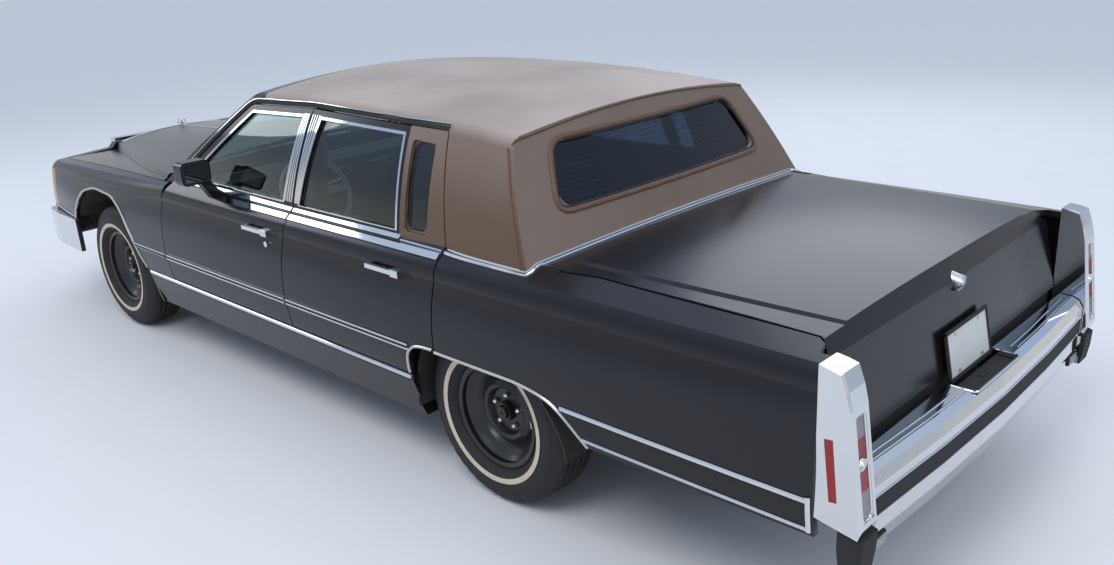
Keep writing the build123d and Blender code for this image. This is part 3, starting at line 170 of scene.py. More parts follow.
class NodeSheet:
    """A material's node tree with short ways to add and join nodes."""

    def __init__(self, name: str) -> None:
        """Start an empty material with one main shader.

        Args:
            name: The material's name.
        """
        self.material = bpy.data.materials.new(name)
        self.material.use_nodes = True
        self.tree = self.material.node_tree
        self.shader = self.tree.nodes["Principled BSDF"]

    def node(self, kind: str, **settings: object) -> bpy.types.Node:
        """Add one node.

        Args:
            kind: The node's type.
            **settings: Its properties.

        Returns:
            The node.
        """
        made = self.tree.nodes.new(kind)
        for key, value in settings.items():
            setattr(made, key, value)
        return made

    def link(self, source: bpy.types.NodeSocket, target: bpy.types.NodeSocket) -> None:
        """Join an output to an input."""
        self.tree.links.new(source, target)

    def feed(self, target: bpy.types.NodeSocket, value: object) -> None:
        """Set an input from a socket, a number or a colour.

        Args:
            target: The input.
            value: A socket to link, or a plain value.
        """
        if isinstance(value, bpy.types.NodeSocket):
            self.link(value, target)
        elif isinstance(value, tuple):
            target.default_value = (*value, 1.0) if len(target.default_value) == 4 else value
        else:
            target.default_value = value

    def noise(self, place: bpy.types.NodeSocket, scale: float, detail: float) -> bpy.types.NodeSocket:
        """Make a cloudy value at a scale in cycles per metre."""
        cloud = self.node("ShaderNodeTexNoise")
        cloud.inputs["Scale"].default_value = scale
        cloud.inputs["Detail"].default_value = detail
        self.link(place, cloud.inputs["Vector"])
        return cloud.outputs["Fac"]

    def remap(self, value: bpy.types.NodeSocket, low: float, high: float, to_low: float,
              to_high: float) -> bpy.types.NodeSocket:
        """Stretch a value from one range to another, held at the ends."""
        ramp = self.node("ShaderNodeMapRange")
        for key, number in (("From Min", low), ("From Max", high), ("To Min", to_low), ("To Max", to_high)):
            ramp.inputs[key].default_value = number
        self.link(value, ramp.inputs["Value"])
        return ramp.outputs["Result"]

    def maths(self, operation: str, first: object, second: object = 0.0) -> bpy.types.NodeSocket:
        """Combine two values by a named operation."""
        sums = self.node("ShaderNodeMath", operation=operation)
        self.feed(sums.inputs[0], first)
        self.feed(sums.inputs[1], second)
        return sums.outputs[0]

    def axis(self, vector: bpy.types.NodeSocket, letter: str) -> bpy.types.NodeSocket:
        """Take one part of a vector."""
        parts = self.node("ShaderNodeSeparateXYZ")
        self.link(vector, parts.inputs[0])
        return parts.outputs[letter]

    def mix_value(self, first: object, second: object, share: float) -> bpy.types.NodeSocket:
        """Blend two values."""
        blend = self.node("ShaderNodeMix", data_type="FLOAT")
        blend.inputs["Factor"].default_value = share
        self.feed(blend.inputs[2], first)
        self.feed(blend.inputs[3], second)
        return blend.outputs[0]

    def mix_colour(self, share: bpy.types.NodeSocket, first: object, second: object) -> bpy.types.NodeSocket:
        """Blend two colours by a value."""
        blend = self.node("ShaderNodeMix", data_type="RGBA")
        self.link(share, blend.inputs["Factor"])
        self.feed(blend.inputs[6], first)
        self.feed(blend.inputs[7], second)
        return blend.outputs[2]

    def bump(self, height: bpy.types.NodeSocket, depth: float) -> bpy.types.NodeSocket:
        """Turn a height into a bumped normal."""
        made = self.node("ShaderNodeBump")
        made.inputs["Distance"].default_value = depth
        self.link(height, made.inputs["Height"])
        return made.outputs["Normal"]


@dataclass(frozen=True)
class TailLens(Finish):
    """A grey lens with a red middle, red all over past a given width."""

    red: Colour = (0.32, 0.012, 0.010)
    red_low: float = 0.602
    red_high: float = 0.752
    red_past_y: float = 0.921

    def zones(self, sheet: NodeSheet, place: bpy.types.NodeSocket,
              tint: bpy.types.NodeSocket) -> bpy.types.NodeSocket:
        """Colour the middle of the lens and the side marker red."""
        level = sheet.axis(place, "Z")
        above = sheet.maths("GREATER_THAN", level, self.red_low)
        below = sheet.maths("LESS_THAN", level, self.red_high)
        middle = sheet.maths("MULTIPLY", above, below)
        outward = sheet.maths("ABSOLUTE", sheet.axis(place, "Y"))
        marker = sheet.maths("GREATER_THAN", outward, self.red_past_y)
        return sheet.mix_colour(sheet.maths("MAXIMUM", middle, marker), tint, self.red)


@dataclass(frozen=True)
class PaintedHighlightVinyl(Finish):
    """Vinyl with a painted highlight: its upper faces painted paler, its sides left at the browner base
    colour.
    """

    # The colour of the painted highlight on upward faces.
    pale: Colour = (0.60, 0.51, 0.46)

    def zones(self, sheet: NodeSheet, place: bpy.types.NodeSocket,
              tint: bpy.types.NodeSocket) -> bpy.types.NodeSocket:
        """Paint a paler highlight on the vinyl by how far its face looks up, broken up by a low cloud."""
        facing = sheet.node("ShaderNodeNewGeometry").outputs["Normal"]
        # Painted highlight: the more a face looks up, the nearer it is painted to the pale colour.
        share = sheet.remap(sheet.axis(facing, "Z"), 0.35, 0.98, 0.0, 0.75)
        cloud = sheet.remap(sheet.noise(place, 1.6, 5.0), 0.35, 0.65, 0.65, 1.0)
        return sheet.mix_colour(sheet.maths("MULTIPLY", share, cloud), tint, self.pale)


PAINT = Finish("black_paint", (0.0030, 0.0030, 0.0034), (0.0060, 0.0060, 0.0065), smooth=0.03, rough=0.09,
               coat=1.0, coat_ior=1.40, gloss=0.26, grain_scale=9.0, grain_depth=0.00006, dust=0.012)
# The vinyl roof, its upper faces given a painted highlight.
VINYL = PaintedHighlightVinyl("tan_vinyl", (0.112, 0.066, 0.038), (0.100, 0.058, 0.034), wear_scale=3.0,
                    wear_share=0.6, smooth=0.40, rough=0.58, grain=Grain.PEBBLE, grain_scale=430.0,
                    grain_depth=0.0007, dust=0.05)
VINYL_WELT = Finish("tan_welt", (0.120, 0.066, 0.036), (0.090, 0.050, 0.028), wear_scale=9.0, smooth=0.42,
                    rough=0.6, grain=Grain.PEBBLE, grain_scale=600.0, grain_depth=0.0003)
CHROME = Finish("bright_chrome", (0.70, 0.71, 0.72), (0.54, 0.53, 0.51), wear_share=0.16, smooth=0.03,
                rough=0.13, metal=1.0, grain_scale=14.0, grain_depth=0.00012)
SATIN = Finish("satin_bright", (0.62, 0.60, 0.56), (0.40, 0.37, 0.32), wear_share=0.5, smooth=0.22,
               rough=0.42, metal=1.0, grain_scale=500.0, grain_depth=0.00008)
BLACK_RUBBER = Finish("black_rubber", (0.016, 0.016, 0.017), (0.045, 0.043, 0.040), smooth=0.45, rough=0.7,
                      grain_scale=900.0)
TINTED = Finish("tinted_glass", (0.55, 0.68, 0.68), (0.52, 0.65, 0.65), smooth=0.0, rough=0.02, clear=1.0,
                ior=1.45, grain_scale=2.0, grain_depth=0.0001)
DARK_GLASS = Finish("dark_rear_glass", (0.045, 0.060, 0.110), (0.040, 0.052, 0.095), smooth=0.0,
                    rough=0.03, clear=1.0, ior=1.45, grain_scale=2.0, grain_depth=0.0001)
CLEAR_LENS = Finish("clear_lens", (0.78, 0.80, 0.82), (0.60, 0.60, 0.58), smooth=0.05, rough=0.2,
                    clear=0.65, grain=Grain.RIB, grain_scale=34.0, grain_depth=0.0008)
AMBER_LENS = Finish("amber_lens", (0.75, 0.26, 0.03), (0.60, 0.20, 0.03), smooth=0.08, rough=0.25,
                    clear=0.35, grain=Grain.RIB, grain_scale=34.0, grain_depth=0.0008)
RED_LENS = TailLens("tail_lens", (0.27, 0.26, 0.27), (0.20, 0.19, 0.20), smooth=0.06, rough=0.16,
                    clear=0.10, grain=Grain.RIB, grain_scale=40.0, grain_depth=0.0006)
UNDERBODY = Finish("underbody_black", (0.022, 0.021, 0.020), (0.075, 0.055, 0.038), wear_share=0.7,
                   smooth=0.6, rough=0.85, grain_scale=150.0, grain_depth=0.0012, dust=0.3)
CAST = Finish("cast_metal", (0.14, 0.14, 0.14), (0.16, 0.085, 0.045), wear_share=0.6, smooth=0.5,
              rough=0.75, metal=0.7, grain_scale=220.0, grain_depth=0.0008)
BARE_STEEL = Finish("bare_steel", (0.30, 0.29, 0.28), (0.20, 0.10, 0.05), wear_share=0.8, smooth=0.4,
                    rough=0.7, metal=0.85, grain_scale=160.0, grain_depth=0.0006)
FINNED = Finish("finned_metal", (0.42, 0.42, 0.42), (0.22, 0.21, 0.20), smooth=0.35, rough=0.6, metal=0.9,
                grain=Grain.RIB, grain_scale=160.0, grain_depth=0.0010)
SEAT = Finish("seat_leather", (0.038, 0.048, 0.070), (0.075, 0.085, 0.105), wear_share=0.45, smooth=0.38,
              rough=0.6, grain=Grain.PEBBLE, grain_scale=420.0, grain_depth=0.0006)
DASH = Finish("dash_plastic", (0.022, 0.024, 0.030), (0.045, 0.047, 0.052), smooth=0.5, rough=0.7,
              grain=Grain.PEBBLE, grain_scale=600.0, grain_depth=0.0004)
WHEEL_PAINT = Finish("wheel_paint", (0.010, 0.010, 0.010), (0.060, 0.048, 0.036), wear_scale=12.0,
                     wear_share=0.5, smooth=0.28, coat=0.2, grain_scale=300.0, grain_depth=0.0003)
TREAD_RUBBER = Finish("tyre_rubber", (0.013, 0.013, 0.013), (0.050, 0.046, 0.040), wear_scale=14.0,
                      wear_share=0.5, smooth=0.6, rough=0.85, grain_scale=700.0, grain_depth=0.0004)
STRIPE_RUBBER = Finish("cream_rubber", (0.60, 0.53, 0.40), (0.42, 0.34, 0.22), wear_scale=18.0,
                       wear_share=0.7, smooth=0.5, rough=0.75, grain_scale=500.0, grain_depth=0.0003)
PLATE = Finish("blank_plate", (0.62, 0.62, 0.60), (0.45, 0.44, 0.42), wear_scale=20.0, smooth=0.35,
               rough=0.55, grain_scale=700.0)
PALE_RIM = Finish("pale_rim", (0.50, 0.48, 0.44), (0.30, 0.28, 0.25), wear_scale=20.0, grain=Grain.PEBBLE,
                  grain_scale=500.0, grain_depth=0.0003)
HEADLINER = Finish("pale_lining", (0.30, 0.27, 0.24), (0.24, 0.21, 0.18), wear_scale=4.0, smooth=0.8,
                   rough=0.95, grain=Grain.PEBBLE, grain_scale=300.0, grain_depth=0.0006)
CARPET = Finish("dark_carpet", (0.020, 0.022, 0.030), (0.045, 0.044, 0.046), wear_scale=7.0, smooth=0.9,
                rough=1.0, grain_scale=900.0, grain_depth=0.002)
SILVER_REFLECTOR = Finish("lamp_reflector", (0.88, 0.88, 0.86), (0.80, 0.80, 0.78), smooth=0.04,
                          rough=0.12, metal=1.0, grain_scale=30.0, grain_depth=0.0001)
BLACK_ENAMEL = Finish("black_enamel", (0.008, 0.008, 0.008), (0.05, 0.04, 0.03), wear_scale=9.0,
                      smooth=0.22, rough=0.45, coat=0.3, grain_scale=120.0)
ENGINE_BLUE = Finish("engine_enamel", (0.012, 0.045, 0.11), (0.05, 0.05, 0.05), wear_scale=8.0,
                     wear_share=0.6, smooth=0.35, rough=0.6, grain_scale=200.0, grain_depth=0.0004)
DARK_MIRROR = Finish("dark_mirror", (0.16, 0.18, 0.20), (0.14, 0.16, 0.18), smooth=0.01, rough=0.04,
                     metal=1.0, grain_scale=2.0, grain_depth=0.0001)
RED_PAINT = Finish("pointer_red", (0.45, 0.06, 0.02), (0.40, 0.05, 0.02), smooth=0.4, rough=0.6)
HEATER_LINE = Finish("heater_line", (0.020, 0.016, 0.014), (0.030, 0.022, 0.018), smooth=0.4, rough=0.6,
                     grain_scale=900.0, grain_depth=0.0001)
GAUGE_FACE = Finish("gauge_face", (0.012, 0.012, 0.013), (0.03, 0.03, 0.03), grain_scale=500.0,
                    grain_depth=0.0001)
MIRROR_GLASS = Finish("mirror_glass", (0.80, 0.82, 0.84), (0.70, 0.72, 0.74), smooth=0.01, rough=0.05,
                      metal=1.0, grain_scale=2.0, grain_depth=0.0001)

SLOT_FINISH = {
    "black_paint": PAINT, "vinyl": VINYL, "glass": TINTED, "chrome": CHROME, "black_rubber": BLACK_RUBBER,
    "lamp_clear": CLEAR_LENS, "lamp_amber": AMBER_LENS, "lamp_red": RED_LENS, "underbody": UNDERBODY,
    "cast_metal": CAST, "bare_steel": BARE_STEEL, "aluminium": FINNED, "seat_cloth": SEAT,
    "dash_plastic": DASH, "tyre": TREAD_RUBBER, "steel_wheel": WHEEL_PAINT,
}


def new_piece(name: str, verts: Sequence[Sequence[float]], faces: Sequence[Sequence[int]],
              finishes: Sequence[Finish], face_finish: Sequence[int] | None = None,
              sharp: float = 35.0) -> bpy.types.Object:
    """Make a mesh piece in the car's frame.

    Args:
        name: The piece's name.
        verts: Its points in metres.
        faces: Its faces as point numbers.
        finishes: The finishes it uses.
        face_finish: Which finish each face has, all the first if left out.
        sharp: The angle in degrees past which an edge stays sharp.

    Returns:
        The object, linked to the scene.
    """
    mesh = bpy.data.meshes.new(name)
    mesh.from_pydata([tuple(v) for v in verts], [], [tuple(f) for f in faces])
    for finish in finishes:
        mesh.materials.append(finish.material())
    if face_finish is not None:
        mesh.polygons.foreach_set("material_index", list(face_finish))
    tidy = bmesh.new()
    tidy.from_mesh(mesh)
    bmesh.ops.recalc_face_normals(tidy, faces=tidy.faces)
    tidy.to_mesh(mesh)
    tidy.free()
    mesh.shade_smooth()
    mesh.set_sharp_from_angle(angle=math.radians(sharp))
    piece = bpy.data.objects.new(name, mesh)
    bpy.context.scene.collection.objects.link(piece)
    return piece


@dataclass
class MeshBag:
    """Points and faces gathered into one mesh."""

    verts: list[Vector] = field(default_factory=list)
    faces: list[tuple[int, ...]] = field(default_factory=list)
    marks: list[int] = field(default_factory=list)

    def add(self, verts: Iterable[Sequence[float]], faces: Iterable[Sequence[int]], mark: int = 0) -> None:
        """Add points and faces.

        Args:
            verts: The points.
            faces: The faces, numbered from the first of these points.
            mark: The finish number of these faces.
        """
        start = len(self.verts)
        self.verts += [Vector(v) for v in verts]
        for face in faces:
            self.faces.append(tuple(start + i for i in face))
            self.marks.append(mark)

    def tube(self, rings: Sequence[Sequence[Sequence[float]]], mark: int = 0) -> None:
        """Join rings of like points into a skin, capped at its ends.

        Args:
            rings: The rings in order.
            mark: The finish number of these faces.
        """
        count = len(rings[0])
        faces: list[tuple[int, ...]] = []
        for ring in range(len(rings) - 1):
            after = ring + 1
            for i in range(count):
                j = (i + 1) % count
                faces.append((ring * count + i, ring * count + j, after * count + j, after * count + i))
        faces.append(tuple(range(count)))
        faces.append(tuple(range((len(rings) - 1) * count, len(rings) * count)))
        self.add([point for ring in rings for point in ring], faces, mark)

    def wheel(self, sections: Sequence[Sequence[Sequence[float]]], marks: Sequence[int]) -> None:
        """Join sections that stand in a full circle into a closed skin.

        Args:
            sections: The sections in order, each a closed ring of like points.
            marks: The finish number of each row of faces round the circle.
        """
        start, count = len(self.verts), len(marks)
        self.verts += [Vector(point) for section in sections for point in section]
        for row in range(len(sections)):
            here, there = start + row * count, start + (row + 1) % len(sections) * count
            for i, mark in enumerate(marks):
                j = (i + 1) % count
                self.faces.append((here + i, here + j, there + j, there + i))
                self.marks.append(mark)

    def box(self, low: Point, high: Point, mark: int = 0, turn: Matrix | None = None) -> None:
        """Add a box with small cut corners.

        Args:
            low: Its lowest corner.
            high: Its highest corner.
            mark: The finish number.
            turn: A matrix to place it with.
        """
        size = [b - a for a, b in zip(low, high)]
        cut = min(size) * 0.18
        rings = []
        for z, inset in ((low[2], cut), (low[2] + cut, 0), (high[2] - cut, 0), (high[2], cut)):
            x0, x1, y0, y1 = low[0] + inset, high[0] - inset, low[1] + inset, high[1] - inset
            rings.append([(x0 + cut, y0, z), (x1 - cut, y0, z), (x1, y0 + cut, z), (x1, y1 - cut, z),
                          (x1 - cut, y1, z), (x0 + cut, y1, z), (x0, y1 - cut, z), (x0, y0 + cut, z)])
        if turn is not None:
            rings = [[turn @ Vector(p) for p in ring] for ring in rings]
        self.tube(rings, mark=mark)

    def round_bar(self, start: Sequence[float], end: Sequence[float], radius: float, sides: int = 16,
                  mark: int = 0, end_radius: float | None = None) -> None:
        """Add a round bar between two points.

        Args:
            start: One end.
            end: The other end.
            radius: Its radius at the start.
            sides: Its number of sides.
            mark: The finish number.
            end_radius: Its radius at the end, the same if left out.
        """
        first, last = Vector(start), Vector(end)
        along = (last - first).normalized()
        across = along.orthogonal().normalized()
        up = along.cross(across)
        rings = []
        for centre, r in ((first, radius), (last, radius if end_radius is None else end_radius)):
            rings.append([centre + across * (r * math.cos(a)) + up * (r * math.sin(a))
                          for a in (2 * math.pi * i / sides for i in range(sides))])
        self.tube(rings, mark=mark)

    def piece(self, name: str, finishes: Sequence[Finish], sharp: float = 35.0) -> bpy.types.Object:
        """Turn the gathered mesh into a piece."""
        return new_piece(name, self.verts, self.faces, finishes, self.marks, sharp)


def span(side: int, inner: float, outer: float) -> Flat:
    """Give the lower and the higher y of a piece on one side of the car.

    Args:
        side: 1 on the left and -1 on the right.
        inner: One distance from the middle.
        outer: The other distance from the middle.

    Returns:
        The two places in rising order.
    """
    low, high = sorted((side * inner, side * outer))
    return low, high


def steps(low: float, high: float, count: int) -> list[float]:
    """Give evenly spaced values.

    Args:
        low: The first value.
        high: The last value.
        count: How many there are.

    Returns:
        The values.
    """
    return [low + (high - low) * i / (count - 1) for i in range(count)]


def mount(bag: MeshBag, name: str, finishes: Sequence[Finish], body: str = "car",
          sharp: float = 35.0) -> bpy.types.Object:
    """Turn a gathered mesh into a piece that rides on a body.

    Args:
        bag: The gathered mesh.
        name: The piece's name.
        finishes: Its finishes, by number.
        body: The body it rides on.
        sharp: The angle in degrees past which an edge stays sharp.

    Returns:
        The piece.
    """
    piece = bag.piece(name, finishes, sharp)
    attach(piece, body)
    return piece


class BodySurface:
    """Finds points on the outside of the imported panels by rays."""

    def __init__(self, nodes: dict[str, bpy.types.Object], names: Iterable[str]) -> None:
        """Gather the panels.

        Args:
            nodes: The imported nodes.
            names: Those that the rays may meet.
        """
        verts: list[Vector] = []
        faces: list[tuple[int, ...]] = []
        for name in names:
            start = len(verts)
            mesh = nodes[name].data
            verts += [v.co.copy() for v in mesh.vertices]
            faces += [tuple(start + i for i in p.vertices) for p in mesh.polygons]
        self.tree = BVHTree.FromPolygons(verts, faces)

    def hit(self, start: Sequence[float], towards: Sequence[float]) -> Spot | None:
        """Find where a ray first meets the body.

        Args:
            start: Where the ray starts.
            towards: Its direction.

        Returns:
            The point and the outward normal there, or None past the body's edge.
        """
        direction = Vector(towards).normalized()
        for nudge in (0.0, 0.0005, -0.0007):
            place, normal, _, _ = self.tree.ray_cast(Vector(start) + Vector((nudge, nudge, nudge)), direction)
            if place is not None:
                break
        else:
            return None
        if normal.dot(direction) > 0:
            normal = -normal
        return place, normal

    def from_side(self, x: float, z: float, side: int) -> Spot | None:
        """Find the body's side at x and z."""
        return self.hit((x, side * 1.5, z), (0, -side, 0))

    def from_above(self, x: float, y: float) -> Spot | None:
        """Find the body's top at x and y."""
        return self.hit((x, y, 2.2), (0, 0, -1))


def spread(points: Sequence[Sequence[float]], step: float) -> list[tuple[float, ...]]:
    """Divide a line of corner points into short even steps.

    Args:
        points: The corner points.
        step: The longest step.

    Returns:
        The points, the corners among them.
    """
    made: list[tuple[float, ...]] = [tuple(points[0])]
    for a, b in zip(points, points[1:]):
        count = max(1, math.ceil(math.dist(a, b) / step))
        made += [tuple(p + (q - p) * i / count for p, q in zip(a, b)) for i in range(1, count + 1)]
    return made


def rounded(points: Sequence[Sequence[float]], radius: float,
            closed: bool = False) -> list[tuple[float, ...]]:
    """Round the corners of a line of points.

    Args:
        points: The corner points.
        radius: How far from each corner the round starts.
        closed: True if the last point joins the first.

    Returns:
        The rounded line.
    """
    made: list[tuple[float, ...]] = []
    count = len(points)
    for i, corner in enumerate(points):
        if not closed and i in (0, count - 1):
            made.append(tuple(corner))
            continue
        before, after = points[i - 1], points[(i + 1) % count]
        way_in, way_out = math.dist(before, corner), math.dist(after, corner)
        reach_in, reach_out = min(radius, way_in * 0.45), min(radius, way_out * 0.45)
        start = [c + (b - c) * reach_in / max(way_in, 1e-9) for c, b in zip(corner, before)]
        end = [c + (a - c) * reach_out / max(way_out, 1e-9) for c, a in zip(corner, after)]
        for t in (0.0, 0.25, 0.5, 0.75, 1.0):
            made.append(tuple((1 - t) ** 2 * s + 2 * t * (1 - t) * c + t * t * e
                              for s, c, e in zip(start, corner, end)))
    if closed:
        made.append(made[0])
    return made


def facing(points: Sequence[Sequence[float]], way: Point) -> list[Spot]:
    """Give points as spots whose normals all look one way."""
    return [(Vector(point), Vector(way).normalized()) for point in points]


def strip_rings(spots: Sequence[Spot], width: float, height: float, sink: float = 0.003,
                crown: float = 0.5) -> list[list[Vector]]:
    """Make the sections of a moulding that follows a surface.

    Args:
        spots: Points on the surface with their normals.
        width: The moulding's width.
        height: How far it stands proud.
        sink: How far it reaches into the surface.
        crown: The share of the width that is flat on top.

    Returns:
        One ring of points for each spot.
    """
    rings = []
    for i, (place, normal) in enumerate(spots):
        before = spots[max(i - 1, 0)][0]
        after = spots[min(i + 1, len(spots) - 1)][0]
        along = (after - before).normalized()
        across = normal.cross(along).normalized()
        half = width / 2
        rings.append([place - across * half - normal * sink, place + across * half - normal * sink,
                      place + across * half + normal * height * 0.45,
                      place + across * half * crown + normal * height,
                      place - across * half * crown + normal * height,
                      place - across * half + normal * height * 0.45])
    return rings


def smooth_spots(spots: Sequence[Spot], passes: int = 2) -> list[Spot]:
    """Even out the normals along a line of spots."""
    normals = [normal.copy() for _, normal in spots]
    for _ in range(passes):
        last = len(normals) - 1
        normals = [(normals[max(i - 1, 0)] + normals[i] * 2 + normals[min(i + 1, last)]).normalized()
                   for i in range(len(normals))]
    return [(place, normal) for (place, _), normal in zip(spots, normals)]


@dataclass
class Studio:
    """The camera, the lights and the floor.

    The camera's place, turn and focal length in pixels are solved from the photograph's own points.
    """

    place: Point = (-3.8335, 3.0488, 2.0258)
    yaw: float = -45.348
    pitch: float = 19.280
    roll: float = -3.262
    focal_pixels: float = 1002.8
    picture: tuple[int, int] = (1114, 565)
    sensor: float = 36.0
    floor_colour: Colour = (0.80, 0.80, 0.80)
    floor_half: float = 60.0
    sky_strength: float = 0.92

    def build(self) -> None:
        """Make the camera, the floor, the backdrop and the lights."""
        bpy.context.scene.view_settings.view_transform = "Standard"
        self.camera()
        self.floor()
        self.lights()

    def camera(self) -> None:
        """Place the camera at the photograph's viewing angle."""
        yaw, pitch, roll = (math.radians(a) for a in (self.yaw, self.pitch, self.roll))
        ahead = Vector((math.cos(yaw) * math.cos(pitch), math.sin(yaw) * math.cos(pitch), -math.sin(pitch)))
        right = ahead.cross(Vector((0, 0, 1))).normalized()
        up = right.cross(ahead)
        rolled_right = math.cos(roll) * right + math.sin(roll) * up
        rolled_up = -math.sin(roll) * right + math.cos(roll) * up
        lens = bpy.data.cameras.new("photo_camera")
        lens.sensor_width = self.sensor
        lens.lens = self.focal_pixels / self.picture[0] * self.sensor
        lens.clip_end = 200.0
        camera = bpy.data.objects.new("photo_camera", lens)
        turn = Matrix((rolled_right, rolled_up, -ahead)).transposed().to_4x4()
        camera.matrix_world = Matrix.Translation(self.place) @ turn
        bpy.context.scene.collection.objects.link(camera)
        bpy.context.scene.camera = camera

    def floor(self) -> None:
        """Lay the wide pale floor."""
        sheet = NodeSheet("pale_floor")
        place = sheet.node("ShaderNodeTexCoord").outputs["Object"]
        cloud = sheet.noise(place, 3.0, 4.0)
        pale = tuple(c * 1.04 for c in self.floor_colour)
        sheet.link(sheet.mix_colour(cloud, self.floor_colour, pale), sheet.shader.inputs["Base Color"])
        sheet.shader.inputs["Roughness"].default_value = 0.85
        sheet.shader.inputs["Specular IOR Level"].default_value = 0.15
        half = self.floor_half
        mesh = bpy.data.meshes.new("floor")
        mesh.from_pydata([(-half, -half, 0), (half, -half, 0), (half, half, 0), (-half, half, 0)], [],
                         [(0, 1, 2, 3)])
        mesh.materials.append(sheet.material)
        floor = bpy.data.objects.new("floor", mesh)
        bpy.context.scene.collection.objects.link(floor)

    def lights(self) -> None:
        """Set a soft even sky and four large soft lamps."""
        world = bpy.data.worlds.new("studio")
        bpy.context.scene.world = world
        world.use_nodes = True
        tree = world.node_tree
        back = tree.nodes["Background"]
        place = tree.nodes.new("ShaderNodeTexCoord")
        split = tree.nodes.new("ShaderNodeSeparateXYZ")
        ramp = tree.nodes.new("ShaderNodeValToRGB")
        tree.links.new(place.outputs["Generated"], split.inputs[0])
        tree.links.new(split.outputs["Z"], ramp.inputs["Fac"])
        ramp.color_ramp.elements[0].color = (0.80, 0.80, 0.80, 1)
        ramp.color_ramp.elements[1].color = (0.88, 0.92, 1.0, 1)
        for level, colour in ((0.08, (0.76, 0.77, 0.78, 1)), (0.20, (0.46, 0.53, 0.64, 1)),
                              (0.45, (0.46, 0.60, 0.86, 1))):
            ramp.color_ramp.elements.new(level).color = colour
        tree.links.new(ramp.outputs["Color"], back.inputs["Color"])
        back.inputs["Strength"].default_value = self.sky_strength
        for name, spot, size, power in (
            ("key_lamp", (-2.5, 4.5, 6.5), 4.0, 180.0),
            ("rear_lamp", (-8.0, -1.5, 4.0), 3.5, 60.0),
            ("front_lamp", (7.5, 3.0, 4.5), 3.5, 80.0),
            ("far_lamp", (1.0, -7.0, 5.5), 5.0, 90.0),
        ):
            lamp = bpy.data.lights.new(name, "AREA")
            lamp.shape = "DISK"
            lamp.size = size
            lamp.energy = power
            holder = bpy.data.objects.new(name, lamp)
            holder.location = spot
            aim = Vector((-0.2, 0, 0.6)) - Vector(spot)
            holder.rotation_euler = aim.to_track_quat("-Z", "Y").to_euler()
            bpy.context.scene.collection.objects.link(holder)


